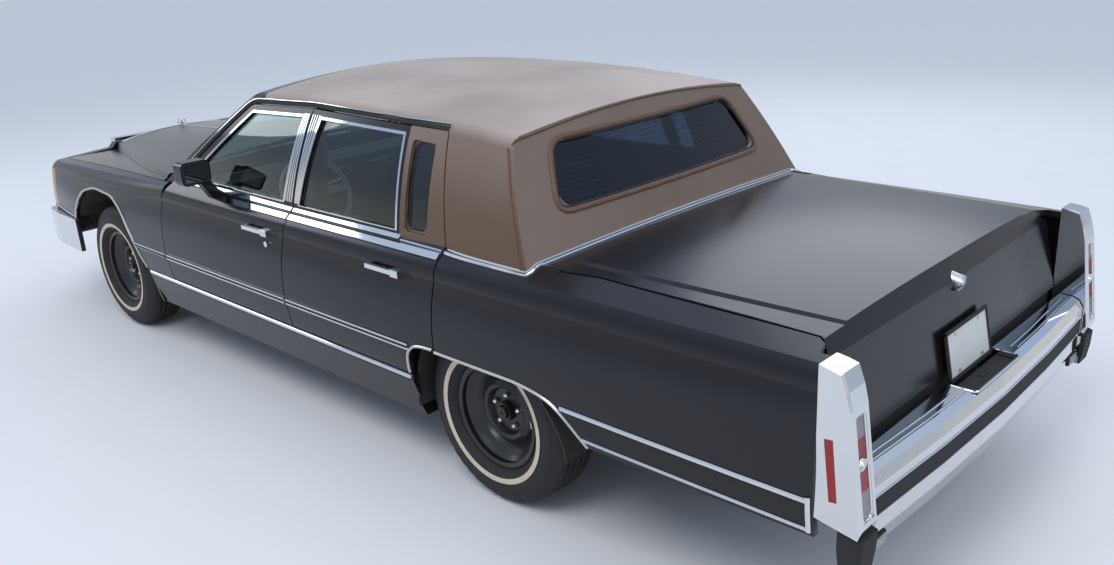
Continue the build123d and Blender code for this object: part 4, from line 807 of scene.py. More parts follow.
@dataclass
class Wheels:
    """The four tyres with tread and cream stripe, and the nuts and caps of the bare steel wheels."""

    radius: float = 0.350
    half_width: float = 0.1125
    front_x: float = FRONT_AXLE_X
    rear_x: float = REAR_AXLE_X
    front_y: float = 0.7835
    rear_y: float = 0.771
    segments: int = 180
    stripe: Flat = (0.237, 0.259)
    nut_circle: float = 0.0635
    nut_count: int = 5

    def corners(self) -> dict[str, Point]:
        """Give each wheel's centre by its corner's name."""
        return {
            "front_left": (self.front_x, self.front_y, self.radius),
            "front_right": (self.front_x, -self.front_y, self.radius),
            "rear_left": (self.rear_x, self.rear_y, self.radius),
            "rear_right": (self.rear_x, -self.rear_y, self.radius),
        }

    def section(self) -> list[tuple[float, float, int]]:
        """Give the tyre's outline as radius, width and finish number, from bead to bead."""
        low, high = self.stripe
        half = self.half_width
        outer = [(0.1945, 0.0755, 0), (0.206, 0.0765, 0), (0.2085, 0.0800, 0), (0.2115, 0.0795, 0),
                 (0.216, 0.0890, 0), (0.228, 0.1005, 0), (low - 0.003, 0.1065, 0), (low - 0.001, 0.1090, 0),
                 (low + 0.001, 0.1095, 1), ((low + high) / 2, half - 0.0012, 1),
                 (high - 0.001, half - 0.0006, 1), (high + 0.001, half - 0.0006, 0),
                 (high + 0.003, half - 0.0024, 0), (0.276, 0.1105, 0), (0.290, 0.1085, 0),
                 (0.3015, 0.1050, 0), (0.3025, 0.1068, 0), (0.307, 0.1062, 0), (0.308, 0.1040, 0),
                 (0.320, 0.0985, 2), (0.333, 0.0915, 2), (0.3415, 0.0840, 2), (0.3455, 0.0775, 2),
                 (0.3478, 0.0690, 3)]
        grooves = (0.0480, 0.0160, -0.0160, -0.0480)
        tread = []
        for groove in grooves:
            tread += [(0.3500, groove + 0.0052, 3), (0.3415, groove + 0.0036, 3),
                      (0.3415, groove - 0.0036, 3), (0.3500, groove - 0.0052, 3)]
        inner = [(r, -w, 0 if m == 1 else m) for r, w, m in reversed(outer)]
        return outer + tread + inner

    def tyre(self, corner: str, centre: Point) -> bpy.types.Object:
        """Build one tyre.

        Args:
            corner: The wheel's corner.
            centre: The wheel's centre.

        Returns:
            The tyre piece.
        """
        side = 1 if centre[1] > 0 else -1
        section = self.section()
        bag = MeshBag()
        rings = []
        for row in range(self.segments):
            angle = 2 * math.pi * row / self.segments
            ring = []
            for radius, width, mark in section:
                deep = 0.0
                if mark == 2 and row % 4 == 0:
                    deep = 0.0045
                elif mark == 3 and (row + (1 if width > 0 else 3)) % 5 == 0:
                    deep = 0.0035
                r = radius - deep
                ring.append((centre[0] + r * math.cos(angle), centre[1] + side * width,
                             centre[2] + r * math.sin(angle)))
            rings.append(ring)
        marks = [1 if a[2] == 1 and b[2] == 1 else 0 for a, b in zip(section, section[1:])]
        bag.wheel(rings, [*marks, 0])
        piece = bag.piece(f"tread_tyre_{corner}", [TREAD_RUBBER, STRIPE_RUBBER], 28.0)
        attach(piece, f"wheel_{corner}")
        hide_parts(f"tyre_{corner}")
        return piece

    def hardware(self, corner: str, centre: Point) -> bpy.types.Object:
        """Build one wheel's nuts, hub cap, balance weight and valve.

        Args:
            corner: The wheel's corner.
            centre: The wheel's centre.

        Returns:
            The piece.
        """
        side = 1 if centre[1] > 0 else -1
        bag = MeshBag()
        x, y, z = centre
        seat = y + side * 0.014
        for i in range(self.nut_count):
            angle = 2 * math.pi * i / self.nut_count + 0.35
            nx, nz = x + self.nut_circle * math.cos(angle), z + self.nut_circle * math.sin(angle)
            bag.round_bar((nx, seat - side * 0.002, nz), (nx, seat + side * 0.004, nz), 0.0125, 18, 1)
            bag.round_bar((nx, seat + side * 0.003, nz), (nx, seat + side * 0.015, nz), 0.0098, 6, 2)
            bag.round_bar((nx, seat + side * 0.015, nz), (nx, seat + side * 0.019, nz), 0.0088, 12, 0,
                          end_radius=0.005)
        bag.round_bar((x, y + side * 0.036, z), (x, y + side * 0.052, z), 0.0290, 28, 1, end_radius=0.0255)
        bag.round_bar((x, y + side * 0.052, z), (x, y + side * 0.056, z), 0.0255, 28, 1, end_radius=0.016)
        bag.round_bar((x, y + side * 0.056, z), (x, y + side * 0.060, z), 0.0060, 12, 1)
        valve = (x + 0.172 * math.cos(2.2), z + 0.172 * math.sin(2.2))
        bag.round_bar((valve[0], y + side * 0.030, valve[1]), (valve[0], y + side * 0.060, valve[1]),
                      0.0045, 10, 1)
        arc = [2.95 + 0.035 * i for i in range(5)]
        rings = [[(x + r * math.cos(a), y + side * w, z + r * math.sin(a))
                  for r, w in ((0.1890, 0.0815), (0.1985, 0.0865), (0.2000, 0.0885), (0.1875, 0.0845))]
                  for a in arc]
        bag.tube(rings, mark=2)
        return mount(bag, f"wheel_fittings_{corner}", [CHROME, WHEEL_PAINT, SATIN], f"wheel_{corner}")

    def build(self) -> list[bpy.types.Object]:
        """Build all four tyres and their wheels' fittings."""
        made = []
        for corner, centre in self.corners().items():
            made.append(self.tyre(corner, centre))
            made.append(self.hardware(corner, centre))
        return made


@dataclass
class BodyMouldings:
    """The bright mouldings, arch lips, welts, rails and gaskets that follow the body."""

    surface: BodySurface
    vinyl: BodySurface
    deck: BodySurface
    screen: BodySurface
    step: float = 0.025
    side_z: Flat = (0.568, 0.594)
    front_arch: tuple[Flat, ...] = ((1.312, 0.455), (1.372, 0.600), (1.480, 0.735), (1.620, 0.795),
                                    (1.900, 0.800), (2.080, 0.755), (2.180, 0.660), (2.222, 0.580))
    door_arch: tuple[Flat, ...] = ((-0.944, 0.462), (-0.946, 0.484), (-0.961, 0.549), (-0.999, 0.583),
                                   (-1.050, 0.595), (-1.116, 0.598))
    rear_arch: tuple[Flat, ...] = ((-1.128, 0.592), (-1.570, 0.592), (-1.700, 0.568), (-1.770, 0.510),
                                   (-1.838, 0.430))
    door_tops: tuple[Flat, ...] = ((0.883, 0.990), (0.352, 1.357), (-0.140, 1.373), (-1.003, 1.354))
    slot: tuple[Flat, ...] = ((-0.858, 1.305), (-0.945, 1.302), (-0.985, 1.005), (-0.898, 1.005))
    slot_recess: tuple[Flat, ...] = ((-0.828, 1.316), (-0.962, 1.310), (-1.008, 0.992), (-0.880, 0.992))
    made: list[bpy.types.Object] = field(default_factory=list)

    def side_spots(self, line: Sequence[Flat], side: int) -> list[Spot]:
        """Lay a line of x and z points on the body's side."""
        found = [self.surface.from_side(x, z, side) for x, z in spread(line, self.step)]
        return smooth_spots([spot for spot in found if spot is not None])

    def lay(self, name: str, lines: Sequence[Sequence[Spot]], width: float, height: float, finish: Finish,
            body: str = "car", crown: float = 0.5) -> bpy.types.Object:
        """Build mouldings of one section along lines of spots.

        Args:
            name: The piece's name.
            lines: The lines.
            width: The moulding's width.
            height: How far it stands proud.
            finish: Its finish.
            body: The body it rides on.
            crown: The share of the width that is flat on top.

        Returns:
            The piece.
        """
        bag = MeshBag()
        for spots in lines:
            if len(spots) > 1:
                bag.tube(strip_rings(spots, width, height, crown=crown))
        piece = mount(bag, name, [finish], body)
        self.made.append(piece)
        return piece

    def beside(self, line: Sequence[Flat], away: float) -> list[Flat]:
        """Shift a line of x and z points square to itself, to its left as drawn.

        Args:
            line: The points.
            away: How far, in metres.

        Returns:
            The shifted points.
        """
        shifted = []
        for i, (x, z) in enumerate(line):
            before, after = line[max(i - 1, 0)], line[min(i + 1, len(line) - 1)]
            along = Vector((after[0] - before[0], after[1] - before[1])).normalized()
            shifted.append((x - along.y * away, z + along.x * away))
        return shifted

    def arch_lips(self) -> None:
        """Line the wheel arches with thin bright lips, the rear one in part on the door."""
        front = self.beside(rounded(self.front_arch, 0.06), 0.007)
        rear = self.beside(rounded(self.rear_arch, 0.06), -0.007)
        lines = [self.side_spots(arch, side) for _, side in BOTH_SIDES for arch in (front, rear)]
        self.lay("arch_lips", lines, 0.012, 0.007, SATIN)
        for name, side in BOTH_SIDES:
            spots = self.side_spots(self.beside(rounded(self.door_arch, 0.03), -0.007), side)
            self.lay(f"door_arch_lip_{name}", [spots], 0.012, 0.007, SATIN, f"rear_door_{name}")

    def side_mouldings(self) -> None:
        """Run the side moulding on over the fenders, and the double one over the quarters."""
        low, high = self.side_z
        middle = (low + high) / 2
        fender = ((1.345, middle), (0.996, middle)), ((2.225, middle + 0.002), (2.44, middle + 0.004),
                                                      (2.60, middle + 0.006))
        strips = [self.side_spots(line, side) for _, side in BOTH_SIDES for line in fender]
        self.lay("fender_mouldings", strips, high - low, 0.007, CHROME, crown=0.62)
        self.lay("fender_moulding_inserts", strips, 0.011, 0.0085, BLACK_RUBBER, crown=0.8)
        doors = {"front": (0.978, -0.108), "rear": (-0.127, -0.966)}
        for door, (start, end) in doors.items():
            for name, side in BOTH_SIDES:
                spots = self.side_spots([(start, middle), (end, middle)], side)
                self.lay(f"{door}_moulding_insert_{name}", [spots], 0.011, 0.0085, BLACK_RUBBER,
                         f"{door}_door_{name}", 0.8)
        upper, lower, bands = [], [], []
        for _, side in BOTH_SIDES:
            upper.append(self.side_spots([(-1.752, 0.560), (-2.640, 0.545)], side))
            lower.append(self.side_spots([(-1.800, 0.462), (-2.640, 0.452)], side))
            upper.append(self.side_spots([(-2.645, 0.560), (-2.645, 0.446)], side))
            bands.append(self.side_spots([(-1.790, 0.511), (-2.636, 0.498)], side))
        self.lay("quarter_mouldings", upper, 0.017, 0.008, CHROME)
        self.lay("quarter_low_mouldings", lower, 0.012, 0.007, CHROME)
        self.lay("quarter_bands", bands, 0.074, 0.003, BLACK_RUBBER, crown=0.9)

    def rocker_mouldings(self) -> None:
        """Run the bright rocker moulding between the arches."""
        lines = [self.side_spots([(1.278, 0.433), (-0.930, 0.433)], side) for _, side in BOTH_SIDES]
        self.lay("rocker_mouldings", lines, 0.018, 0.006, CHROME, crown=0.6)

    def drip_rails(self) -> None:
        """Lay the black drip channel with its bright edge above the doors and down the windshield pillars."""
        channels, edges = [], []
        for _, side in BOTH_SIDES:
            channels.append(self.side_spots(self.beside(rounded(self.door_tops, 0.05), -0.0125), side))
            edges.append(self.side_spots(self.beside(rounded(self.door_tops, 0.05), -0.0215), side))
        self.lay("drip_channels", channels, 0.014, 0.006, BLACK_RUBBER)
        self.lay("drip_rails", edges, 0.006, 0.009, CHROME)

    def post_trims(self) -> None:
        """Set the ribbed bright trims on the door frames that meet at the post."""
        frames = {"front": ((-0.058, -0.121), (-0.089, -0.131), 0.998, 1.352),
                  "rear": ((-0.139, -0.170), (-0.149, -0.211), 0.998, 1.352)}
        for door, (foot, top, low, high) in frames.items():
            for name, side in BOTH_SIDES:
                ribs = []
                for share in (0.10, 0.37, 0.63, 0.90):
                    x_low = foot[0] + (foot[1] - foot[0]) * share
                    x_high = top[0] + (top[1] - top[0]) * share
                    ribs.append(self.side_spots([(x_low, low), (x_high, high)], side))
                self.lay(f"{door}_post_trim_{name}", ribs, 0.0085, 0.0045, CHROME, f"{door}_door_{name}")

    def welts(self) -> None:
        """Sew the vinyl's welts down the rear pillars and across the rear edge of the roof."""
        lines = []
        for _, side in BOTH_SIDES:
            lines.append(self.side_spots([(-1.318, 1.325), (-1.345, 1.280), (-1.430, 1.100),
                                          (-1.498, 0.958)], side))
        edge = []
        for angle in (math.radians(degrees) for degrees in steps(38, 142, 43)):
            out = Vector((0, math.cos(angle), math.sin(angle)))
            y = math.copysign(0.50, out.y) if abs(out.y) > 0.26 else out.y * 1.92
            start = Vector((-1.330 - 0.005 * math.sin(angle), y, 1.18)) + out * 0.9
            edge.append(self.vinyl.hit(start, -out))
        lines.append(smooth_spots([spot for spot in edge if spot]))
        self.lay("vinyl_welts", lines, 0.009, 0.005, VINYL_WELT)

    def vinyl_foot(self, start: Flat, aim: Vector) -> tuple[Spot, Spot] | None:
        """Find where the vinyl meets the body below it.

        Args:
            start: A plan point outside the vinyl.
            aim: The level direction towards it.

        Returns:
            A spot at the foot of the vinyl and one on the body beside it, or None where either is missed.
        """
        wall = self.vinyl.hit((start[0], start[1], 1.03), aim)
        if wall is None:
            return None
        before = wall[0] - aim * 0.08
        level = 0.975
        for _ in range(3):
            foot = self.vinyl.hit((before.x, before.y, level), aim)
            if foot is None:
                return None
            near = foot[0] - aim * 0.015
            top = self.deck.hit((near.x, near.y, 1.10), (0, 0, -1))
            if top is None:
                return None
            level = top[0].z + 0.007
        return foot, top

    def base_strips(self) -> None:
        """Run the double bright strip along the foot of the vinyl, from door to door."""
        found = []
        for side in (1, -1):
            part = [self.vinyl_foot((-1.134 - 0.02 * i, side * 1.2), Vector((0, -side, 0)))
                    for i in range(17)]
            for i in range(1, 12):
                angle = math.radians(90 + 7.5 * i)
                out = Vector((math.cos(angle), side * math.sin(angle), 0))
                part.append(self.vinyl_foot((-1.46 + 0.4 * out.x, side * 0.77 + 0.4 * out.y), -out))
            if side == 1:
                found += part
                found += [self.vinyl_foot((-2.0, 0.76 - 0.04 * i), Vector((1, 0, 0))) for i in range(39)]
            else:
                found += part[::-1]
        pairs = [pair for pair in found if pair is not None]
        self.lay("vinyl_foot_strip", [smooth_spots([foot for foot, _ in pairs], 4)], 0.010, 0.005, CHROME)
        self.lay("vinyl_deck_strip", [smooth_spots([top for _, top in pairs], 4)], 0.013, 0.008, CHROME)
        for name, side in BOTH_SIDES:
            spots = self.side_spots([(-0.872, 0.9615), (-1.114, 0.9600)], side)
            self.lay(f"vinyl_door_strip_{name}", [spots], 0.009, 0.005, CHROME, f"rear_door_{name}")

    def slot_linings(self) -> None:
        """Line the recess of the slot window in each rear door with vinyl that slopes in to the glass."""
        outer = rounded(self.slot_recess, 0.022, closed=True)[:-1]
        inner = rounded(self.slot, 0.014, closed=True)[:-1]
        for name, side in BOTH_SIDES:
            bag = MeshBag()
            rings = []
            for line, deep in ((outer, 0.0000), (outer, 0.0045), (inner, 0.0115)):
                ring = []
                for x, z in line:
                    level = min(max(z, 1.01), 1.29)
                    place, _ = self.surface.from_side(-1.012 - (1.34 - level) * 0.20, level, side)
                    slope = (z - level) * -0.35
                    ring.append((x, place.y - side * (deep - slope), z))
                rings.append(ring)
            count = len(outer)
            for first, second in zip(rings, rings[1:]):
                faces = [(i, (i + 1) % count, count + (i + 1) % count, count + i) for i in range(count)]
                bag.add(first + second, faces)
            piece = mount(bag, f"slot_lining_{name}", [VINYL_WELT], f"rear_door_{name}", 50.0)
            thick = piece.modifiers.new("thickness", "SOLIDIFY")
            thick.thickness = 0.002
            self.made.append(piece)

    def window_reveals(self) -> None:
        """Frame the windshield with a bright reveal, and the rear window with a rolled vinyl edge."""
        windshield = [(-0.770, 1.006), (-0.618, 1.385), (0.618, 1.385), (0.770, 1.006)]
        rear = [(-0.622, 1.108), (-0.530, 1.318), (0.530, 1.318), (0.622, 1.108)]
        looks = (("windshield_reveal", windshield, 3.0, -1, 0.05, 0.012, 0.014, 0.005, CHROME),
                 ("windshield_gasket", windshield, 3.0, -1, 0.05, 0.001, 0.008, 0.003, BLACK_RUBBER),
                 ("rear_window_roll", rear, -3.0, 1, 0.07, 0.013, 0.020, 0.007, VINYL_WELT),
                 ("rear_window_gasket", rear, -3.0, 1, 0.06, 0.001, 0.010, 0.003, BLACK_RUBBER))
        for name, corners, start, way, radius, grow, width, height, finish in looks:
            middle_z = sum(z for _, z in corners) / 4
            grown = [(y + math.copysign(grow, y), z + math.copysign(grow, z - middle_z)) for y, z in corners]
            line = spread(rounded(grown, radius, closed=True), self.step)
            wall = self.screen if way < 0 else self.surface
            found = [wall.hit((start, y, z), (way, 0, 0)) for y, z in line]
            self.lay(name, [smooth_spots([spot for spot in found if spot is not None])], width, height,
                     finish)

    def heater_lines(self) -> None:
        """Print the thin heater lines on the rear window."""
        lines = []
        for i in range(11):
            z = 1.128 + 0.0172 * i
            half = 0.600 - 0.4 * (z - 1.108)
            found = [self.surface.hit((-3.0, half - 2 * half * k / 40, z), (1, 0, 0)) for k in range(41)]
            lines.append([spot for spot in found if spot is not None])
        self.lay("rear_window_heater_lines", lines, 0.0012, 0.0004, HEATER_LINE)

    def build(self) -> list[bpy.types.Object]:
        """Build every moulding."""
        for step in (self.arch_lips, self.side_mouldings, self.rocker_mouldings, self.drip_rails,
                     self.post_trims, self.welts, self.base_strips, self.slot_linings, self.window_reveals,
                     self.heater_lines):
            step()
        return self.made


@dataclass
class Cushion:
    """The corner box of one padded piece, with the crown of its faces."""

    low: Point
    high: Point
    crown: float
    lean: float = 0.0


@dataclass
class Seats:
    """The padded seats, each cushion a crowned closed form with sewn channels."""

    channel_gap: float = 0.085
    channel_depth: float = 0.007
    channel_width: float = 0.09
    border: float = 0.05
    squareness: float = 5.0
    grid: int = 30

    def pad(self, name: str, cushion: Cushion, channels_along: str, body: str = "car") -> bpy.types.Object:
        """Build one cushion.

        Args:
            name: The piece's name.
            cushion: Its place and crown.
            channels_along: The axis across which the sewn channels are spaced.
            body: The body it rides on.

        Returns:
            The piece.
        """
        low, high = Vector(cushion.low), Vector(cushion.high)
        centre, half = (low + high) / 2, (high - low) / 2
        shape = bmesh.new()
        bmesh.ops.create_cube(shape, size=2.0)
        bmesh.ops.subdivide_edges(shape, edges=shape.edges, cuts=self.grid - 1, use_grid_fill=True)
        index = "XYZ".index(channels_along)
        turn = Matrix.Rotation(math.radians(cushion.lean), 3, "Y")
        thin = min(range(3), key=lambda i: half[i])
        for vert in shape.verts:
            u = vert.co.copy()
            length = sum(abs(c) ** self.squareness for c in u) ** (1 / self.squareness)
            ball = u / length
            flat = [1 - min(1.0, abs(ball[i])) ** 2 for i in range(3)]
            point = Vector((ball.x * half.x, ball.y * half.y, ball.z * half.z))
            edge = flat[(thin + 1) % 3] * flat[(thin + 2) % 3]
            face = ball[thin]
            swell = cushion.crown * edge * math.copysign(min(1.0, abs(face) * 1.4), face)
            count = max(2, round((half[index] * 2 - self.border) / self.channel_gap))
            where = (point[index] + half[index]) / (half[index] * 2) * count
            sewn = 0.5 < where < count - 0.5
            dip = math.exp(-((where - round(where)) / self.channel_width) ** 2) if sewn else 0.0
            swell -= math.copysign(self.channel_depth * dip * min(1.0, edge * 4), face)
            point[thin] += swell - math.copysign(cushion.crown, face) * 0.9 * (abs(face) > 0.3)
            vert.co = centre + turn @ point
        mesh = bpy.data.meshes.new(name)
        shape.to_mesh(mesh)
        shape.free()
        mesh.shade_smooth()
        mesh.materials.append(SEAT.material())
        piece = bpy.data.objects.new(name, mesh)
        bpy.context.scene.collection.objects.link(piece)
        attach(piece, body)
        return piece

    def build(self) -> list[bpy.types.Object]:
        """Build the front seats and the rear bench in the space their packed forms hold."""
        made = []
        for name, side in BOTH_SIDES:
            inner, outer = span(side, 0.160, 0.688)
            made.append(self.pad(f"front_cushion_{name}",
                                 Cushion((-0.330, inner, 0.300), (0.325, outer, 0.490), 0.020, -3), "Y"))
            made.append(self.pad(f"front_back_{name}",
                                 Cushion((-0.475, inner, 0.420), (-0.285, outer, 0.860), 0.020, -19), "Y"))
            made.append(self.pad(f"front_headrest_{name}",
                                 Cushion((-0.535, inner + 0.11, 0.850), (-0.420, outer - 0.11, 0.955),
                                         0.010, -14), "Z"))
        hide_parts("front_seats")
        bench = self.pad("rear_cushion",
                         Cushion((-1.170, -0.585, 0.470), (-0.632, 0.585, 0.545), 0.010, -3), "Y")
        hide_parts("rear_seat")
        made.append(bench)
        made.append(self.pad("rear_back",
                             Cushion((-1.390, -0.585, 0.500), (-1.210, 0.585, 0.915), 0.020, -16), "Y"))
        return made


@dataclass
class TailDetails:
    """The lamp bezels and discs, the plate, the bumper's edges and the lock's surround."""

    lens_y: Flat = (0.858, 0.914)
    lens_line: tuple[Flat, ...] = ((-2.7520, 0.820), (-2.7880, 0.540), (-2.7905, 0.522))
    disc_z: float = 0.677
    notch_half: float = 0.178
    plate_place: Point = (-2.6770, 0.0, 0.694)
    plate_lean: float = 10.8
    lock_place: Point = (-2.640, 0.0, 0.893)

    def build(self) -> list[bpy.types.Object]:
        """Build the tail's small pieces."""
        return [self.bezels(), self.discs(), self.plate(), self.bumper_edges(), self.notch_lip(),
                self.lock_cap(), self.reverse_lamps()]

    def lens_x(self, z: float) -> float:
        """Give the lens face's x at a height."""
        for (x_a, z_a), (x_b, z_b) in zip(self.lens_line, self.lens_line[1:]):
            if z >= z_b:
                return x_a + (x_b - x_a) * (z_a - z) / (z_a - z_b)
        return self.lens_line[-1][0]

    def bezels(self) -> bpy.types.Object:
        """Frame each tall lens with a bright bezel."""
        bag = MeshBag()
        for _, side in BOTH_SIDES:
            low, high = self.lens_y
            corners = [(self.lens_x(z) - 0.001, side * y, z)
                       for y, z in ((low, 0.826), (high, 0.826), (high, 0.516), (low, 0.516))]
            line = spread(rounded(corners, 0.03, closed=True), 0.02)
            bag.tube(strip_rings(facing(line, (-1, 0, -0.12)), 0.009, 0.006))
        return mount(bag, "tail_lamp_bezels", [CHROME], "car")

    def discs(self) -> bpy.types.Object:
        """Set the plain round disc between the red parts of each lens."""
        bag = MeshBag()
        middle_y = sum(self.lens_y) / 2
        for _, side in BOTH_SIDES:
            x = self.lens_x(self.disc_z)
            for reach, radius, end in ((0.004, 0.0215, 0.0205), (0.0055, 0.0165, 0.0150),
                                       (0.0065, 0.0095, 0.0080)):
                bag.round_bar((x + 0.004, side * middle_y, self.disc_z),
                              (x - reach, side * middle_y, self.disc_z - 0.001), radius, 32, 0,
                              end_radius=end)
        return mount(bag, "tail_lamp_discs", [CHROME], "car")

    def plate(self) -> bpy.types.Object:
        """Hang the blank number plate in its dark frame above the notch of the rear bumper."""
        bag = MeshBag()
        lean = Matrix.Rotation(math.radians(self.plate_lean), 4, "Y")
        turn = Matrix.Translation(self.plate_place) @ lean
        bag.box((-0.003, -0.152, -0.076), (0.000, 0.152, 0.076), 0, turn)
        for low, high in (((-0.007, -0.160, 0.071), (0.003, 0.160, 0.083)),
                          ((-0.007, -0.160, -0.083), (0.003, 0.160, -0.071)),
                          ((-0.007, -0.160, -0.083), (0.003, -0.149, 0.083)),
                          ((-0.007, 0.149, -0.083), (0.003, 0.160, 0.083)),
                          ((0.000, -0.090, -0.086), (0.012, 0.090, -0.020))):
            bag.box(low, high, 2, turn)
        for y in (-0.089, 0.089):
            for z in (-0.060, 0.060):
                bag.round_bar(turn @ Vector((0.0, y, z)), turn @ Vector((-0.006, y, z)), 0.006, 12, 1)
        return mount(bag, "number_plate", [PLATE, SATIN, BLACK_RUBBER], "trunk_lid")

    def bow(self, y: float) -> float:
        """Give how far forward the rear bumper's bow lies at a place across."""
        table = ((0.0, 0.0), (0.420, 0.009), (0.832, 0.030))
        reach = min(abs(y), table[-1][0])
        for (y_a, x_a), (y_b, x_b) in zip(table, table[1:]):
            if reach <= y_b:
                return x_a + (x_b - x_a) * (reach - y_a) / (y_b - y_a)
        return table[-1][1]

    def bumper_edges(self) -> bpy.types.Object:
        """Edge the black bumper strip with two fine bright beads, and press two ribs in the bumper's top."""
        bag = MeshBag()
        rows = [-0.820 + 0.041 * i for i in range(41)]
        for z in (0.4835, 0.5485):
            spots = [(Vector((-2.8065 + self.bow(y), y, z)), Vector((-1, 0, 0))) for y in rows]
            bag.tube(strip_rings(spots, 0.005, 0.003))
        for _, side in BOTH_SIDES:
            for x in (-2.736, -2.756):
                spots = [(Vector((x + self.bow(y), y, 0.6185 - (x + 2.736) * -0.08)), Vector((0, 0, 1)))
                         for y in [side * (0.235 + 0.05 * i) for i in range(12)]]
                bag.tube(strip_rings(spots, 0.007, 0.0022))
        return mount(bag, "rear_bumper_edges", [CHROME], "car")

    def notch_lip(self) -> bpy.types.Object:
        """Roll a fine lip round the plate's notch, and lay black on its floor as painted shadow under the
        plate.
        """
        bag = MeshBag()
        front, rear, half = -2.702, -2.7835, self.notch_half
        path = rounded([(front, -half, 0.617), (rear, -half, 0.6155), (rear, half, 0.6155),
                        (front, half, 0.617)], 0.022)
        bag.tube(strip_rings(facing(spread(path, 0.02), (0, 0, 1)), 0.007, 0.004))
        # Black sheet on the notch floor: painted shadow under the plate.
        bag.box((-2.780, -half + 0.004, 0.5975), (-2.705, half - 0.004, 0.6000), 1)
        bag.box((-2.742, -0.020, 0.5995), (-2.722, 0.020, 0.6035), 1)
        return mount(bag, "plate_notch_lip", [CHROME, BLACK_RUBBER], "car")

    def lock_cap(self) -> bpy.types.Object:
        """Set the plain ringed cap over the lid's lock."""
        bag = MeshBag()
        along = Vector((-50, 0, -12)).normalized()
        centre = Vector(self.lock_place)
        for reach, radius, end in ((0.0020, 0.0285, 0.0275), (0.0055, 0.0215, 0.0190),
                                   (0.0085, 0.0150, 0.0110)):
            bag.round_bar(centre - along * 0.010, centre + along * reach, radius, 40, 0, end_radius=end)
        return mount(bag, "lid_lock_cap", [CHROME], "trunk_lid")

    def reverse_lamps(self) -> bpy.types.Object:
        """Set the two small square lamps under the rear bumper's ends."""
        bag = MeshBag()
        for _, side in BOTH_SIDES:
            y_low, y_high = span(side, 0.735, 0.815)
            bag.box((-2.779, y_low, 0.372), (-2.766, y_high, 0.412), 1)
            bag.box((-2.783, y_low + 0.006, 0.377), (-2.774, y_high - 0.006, 0.407), 0)
        return mount(bag, "low_rear_lamps", [CLEAR_LENS, BLACK_RUBBER], "car")


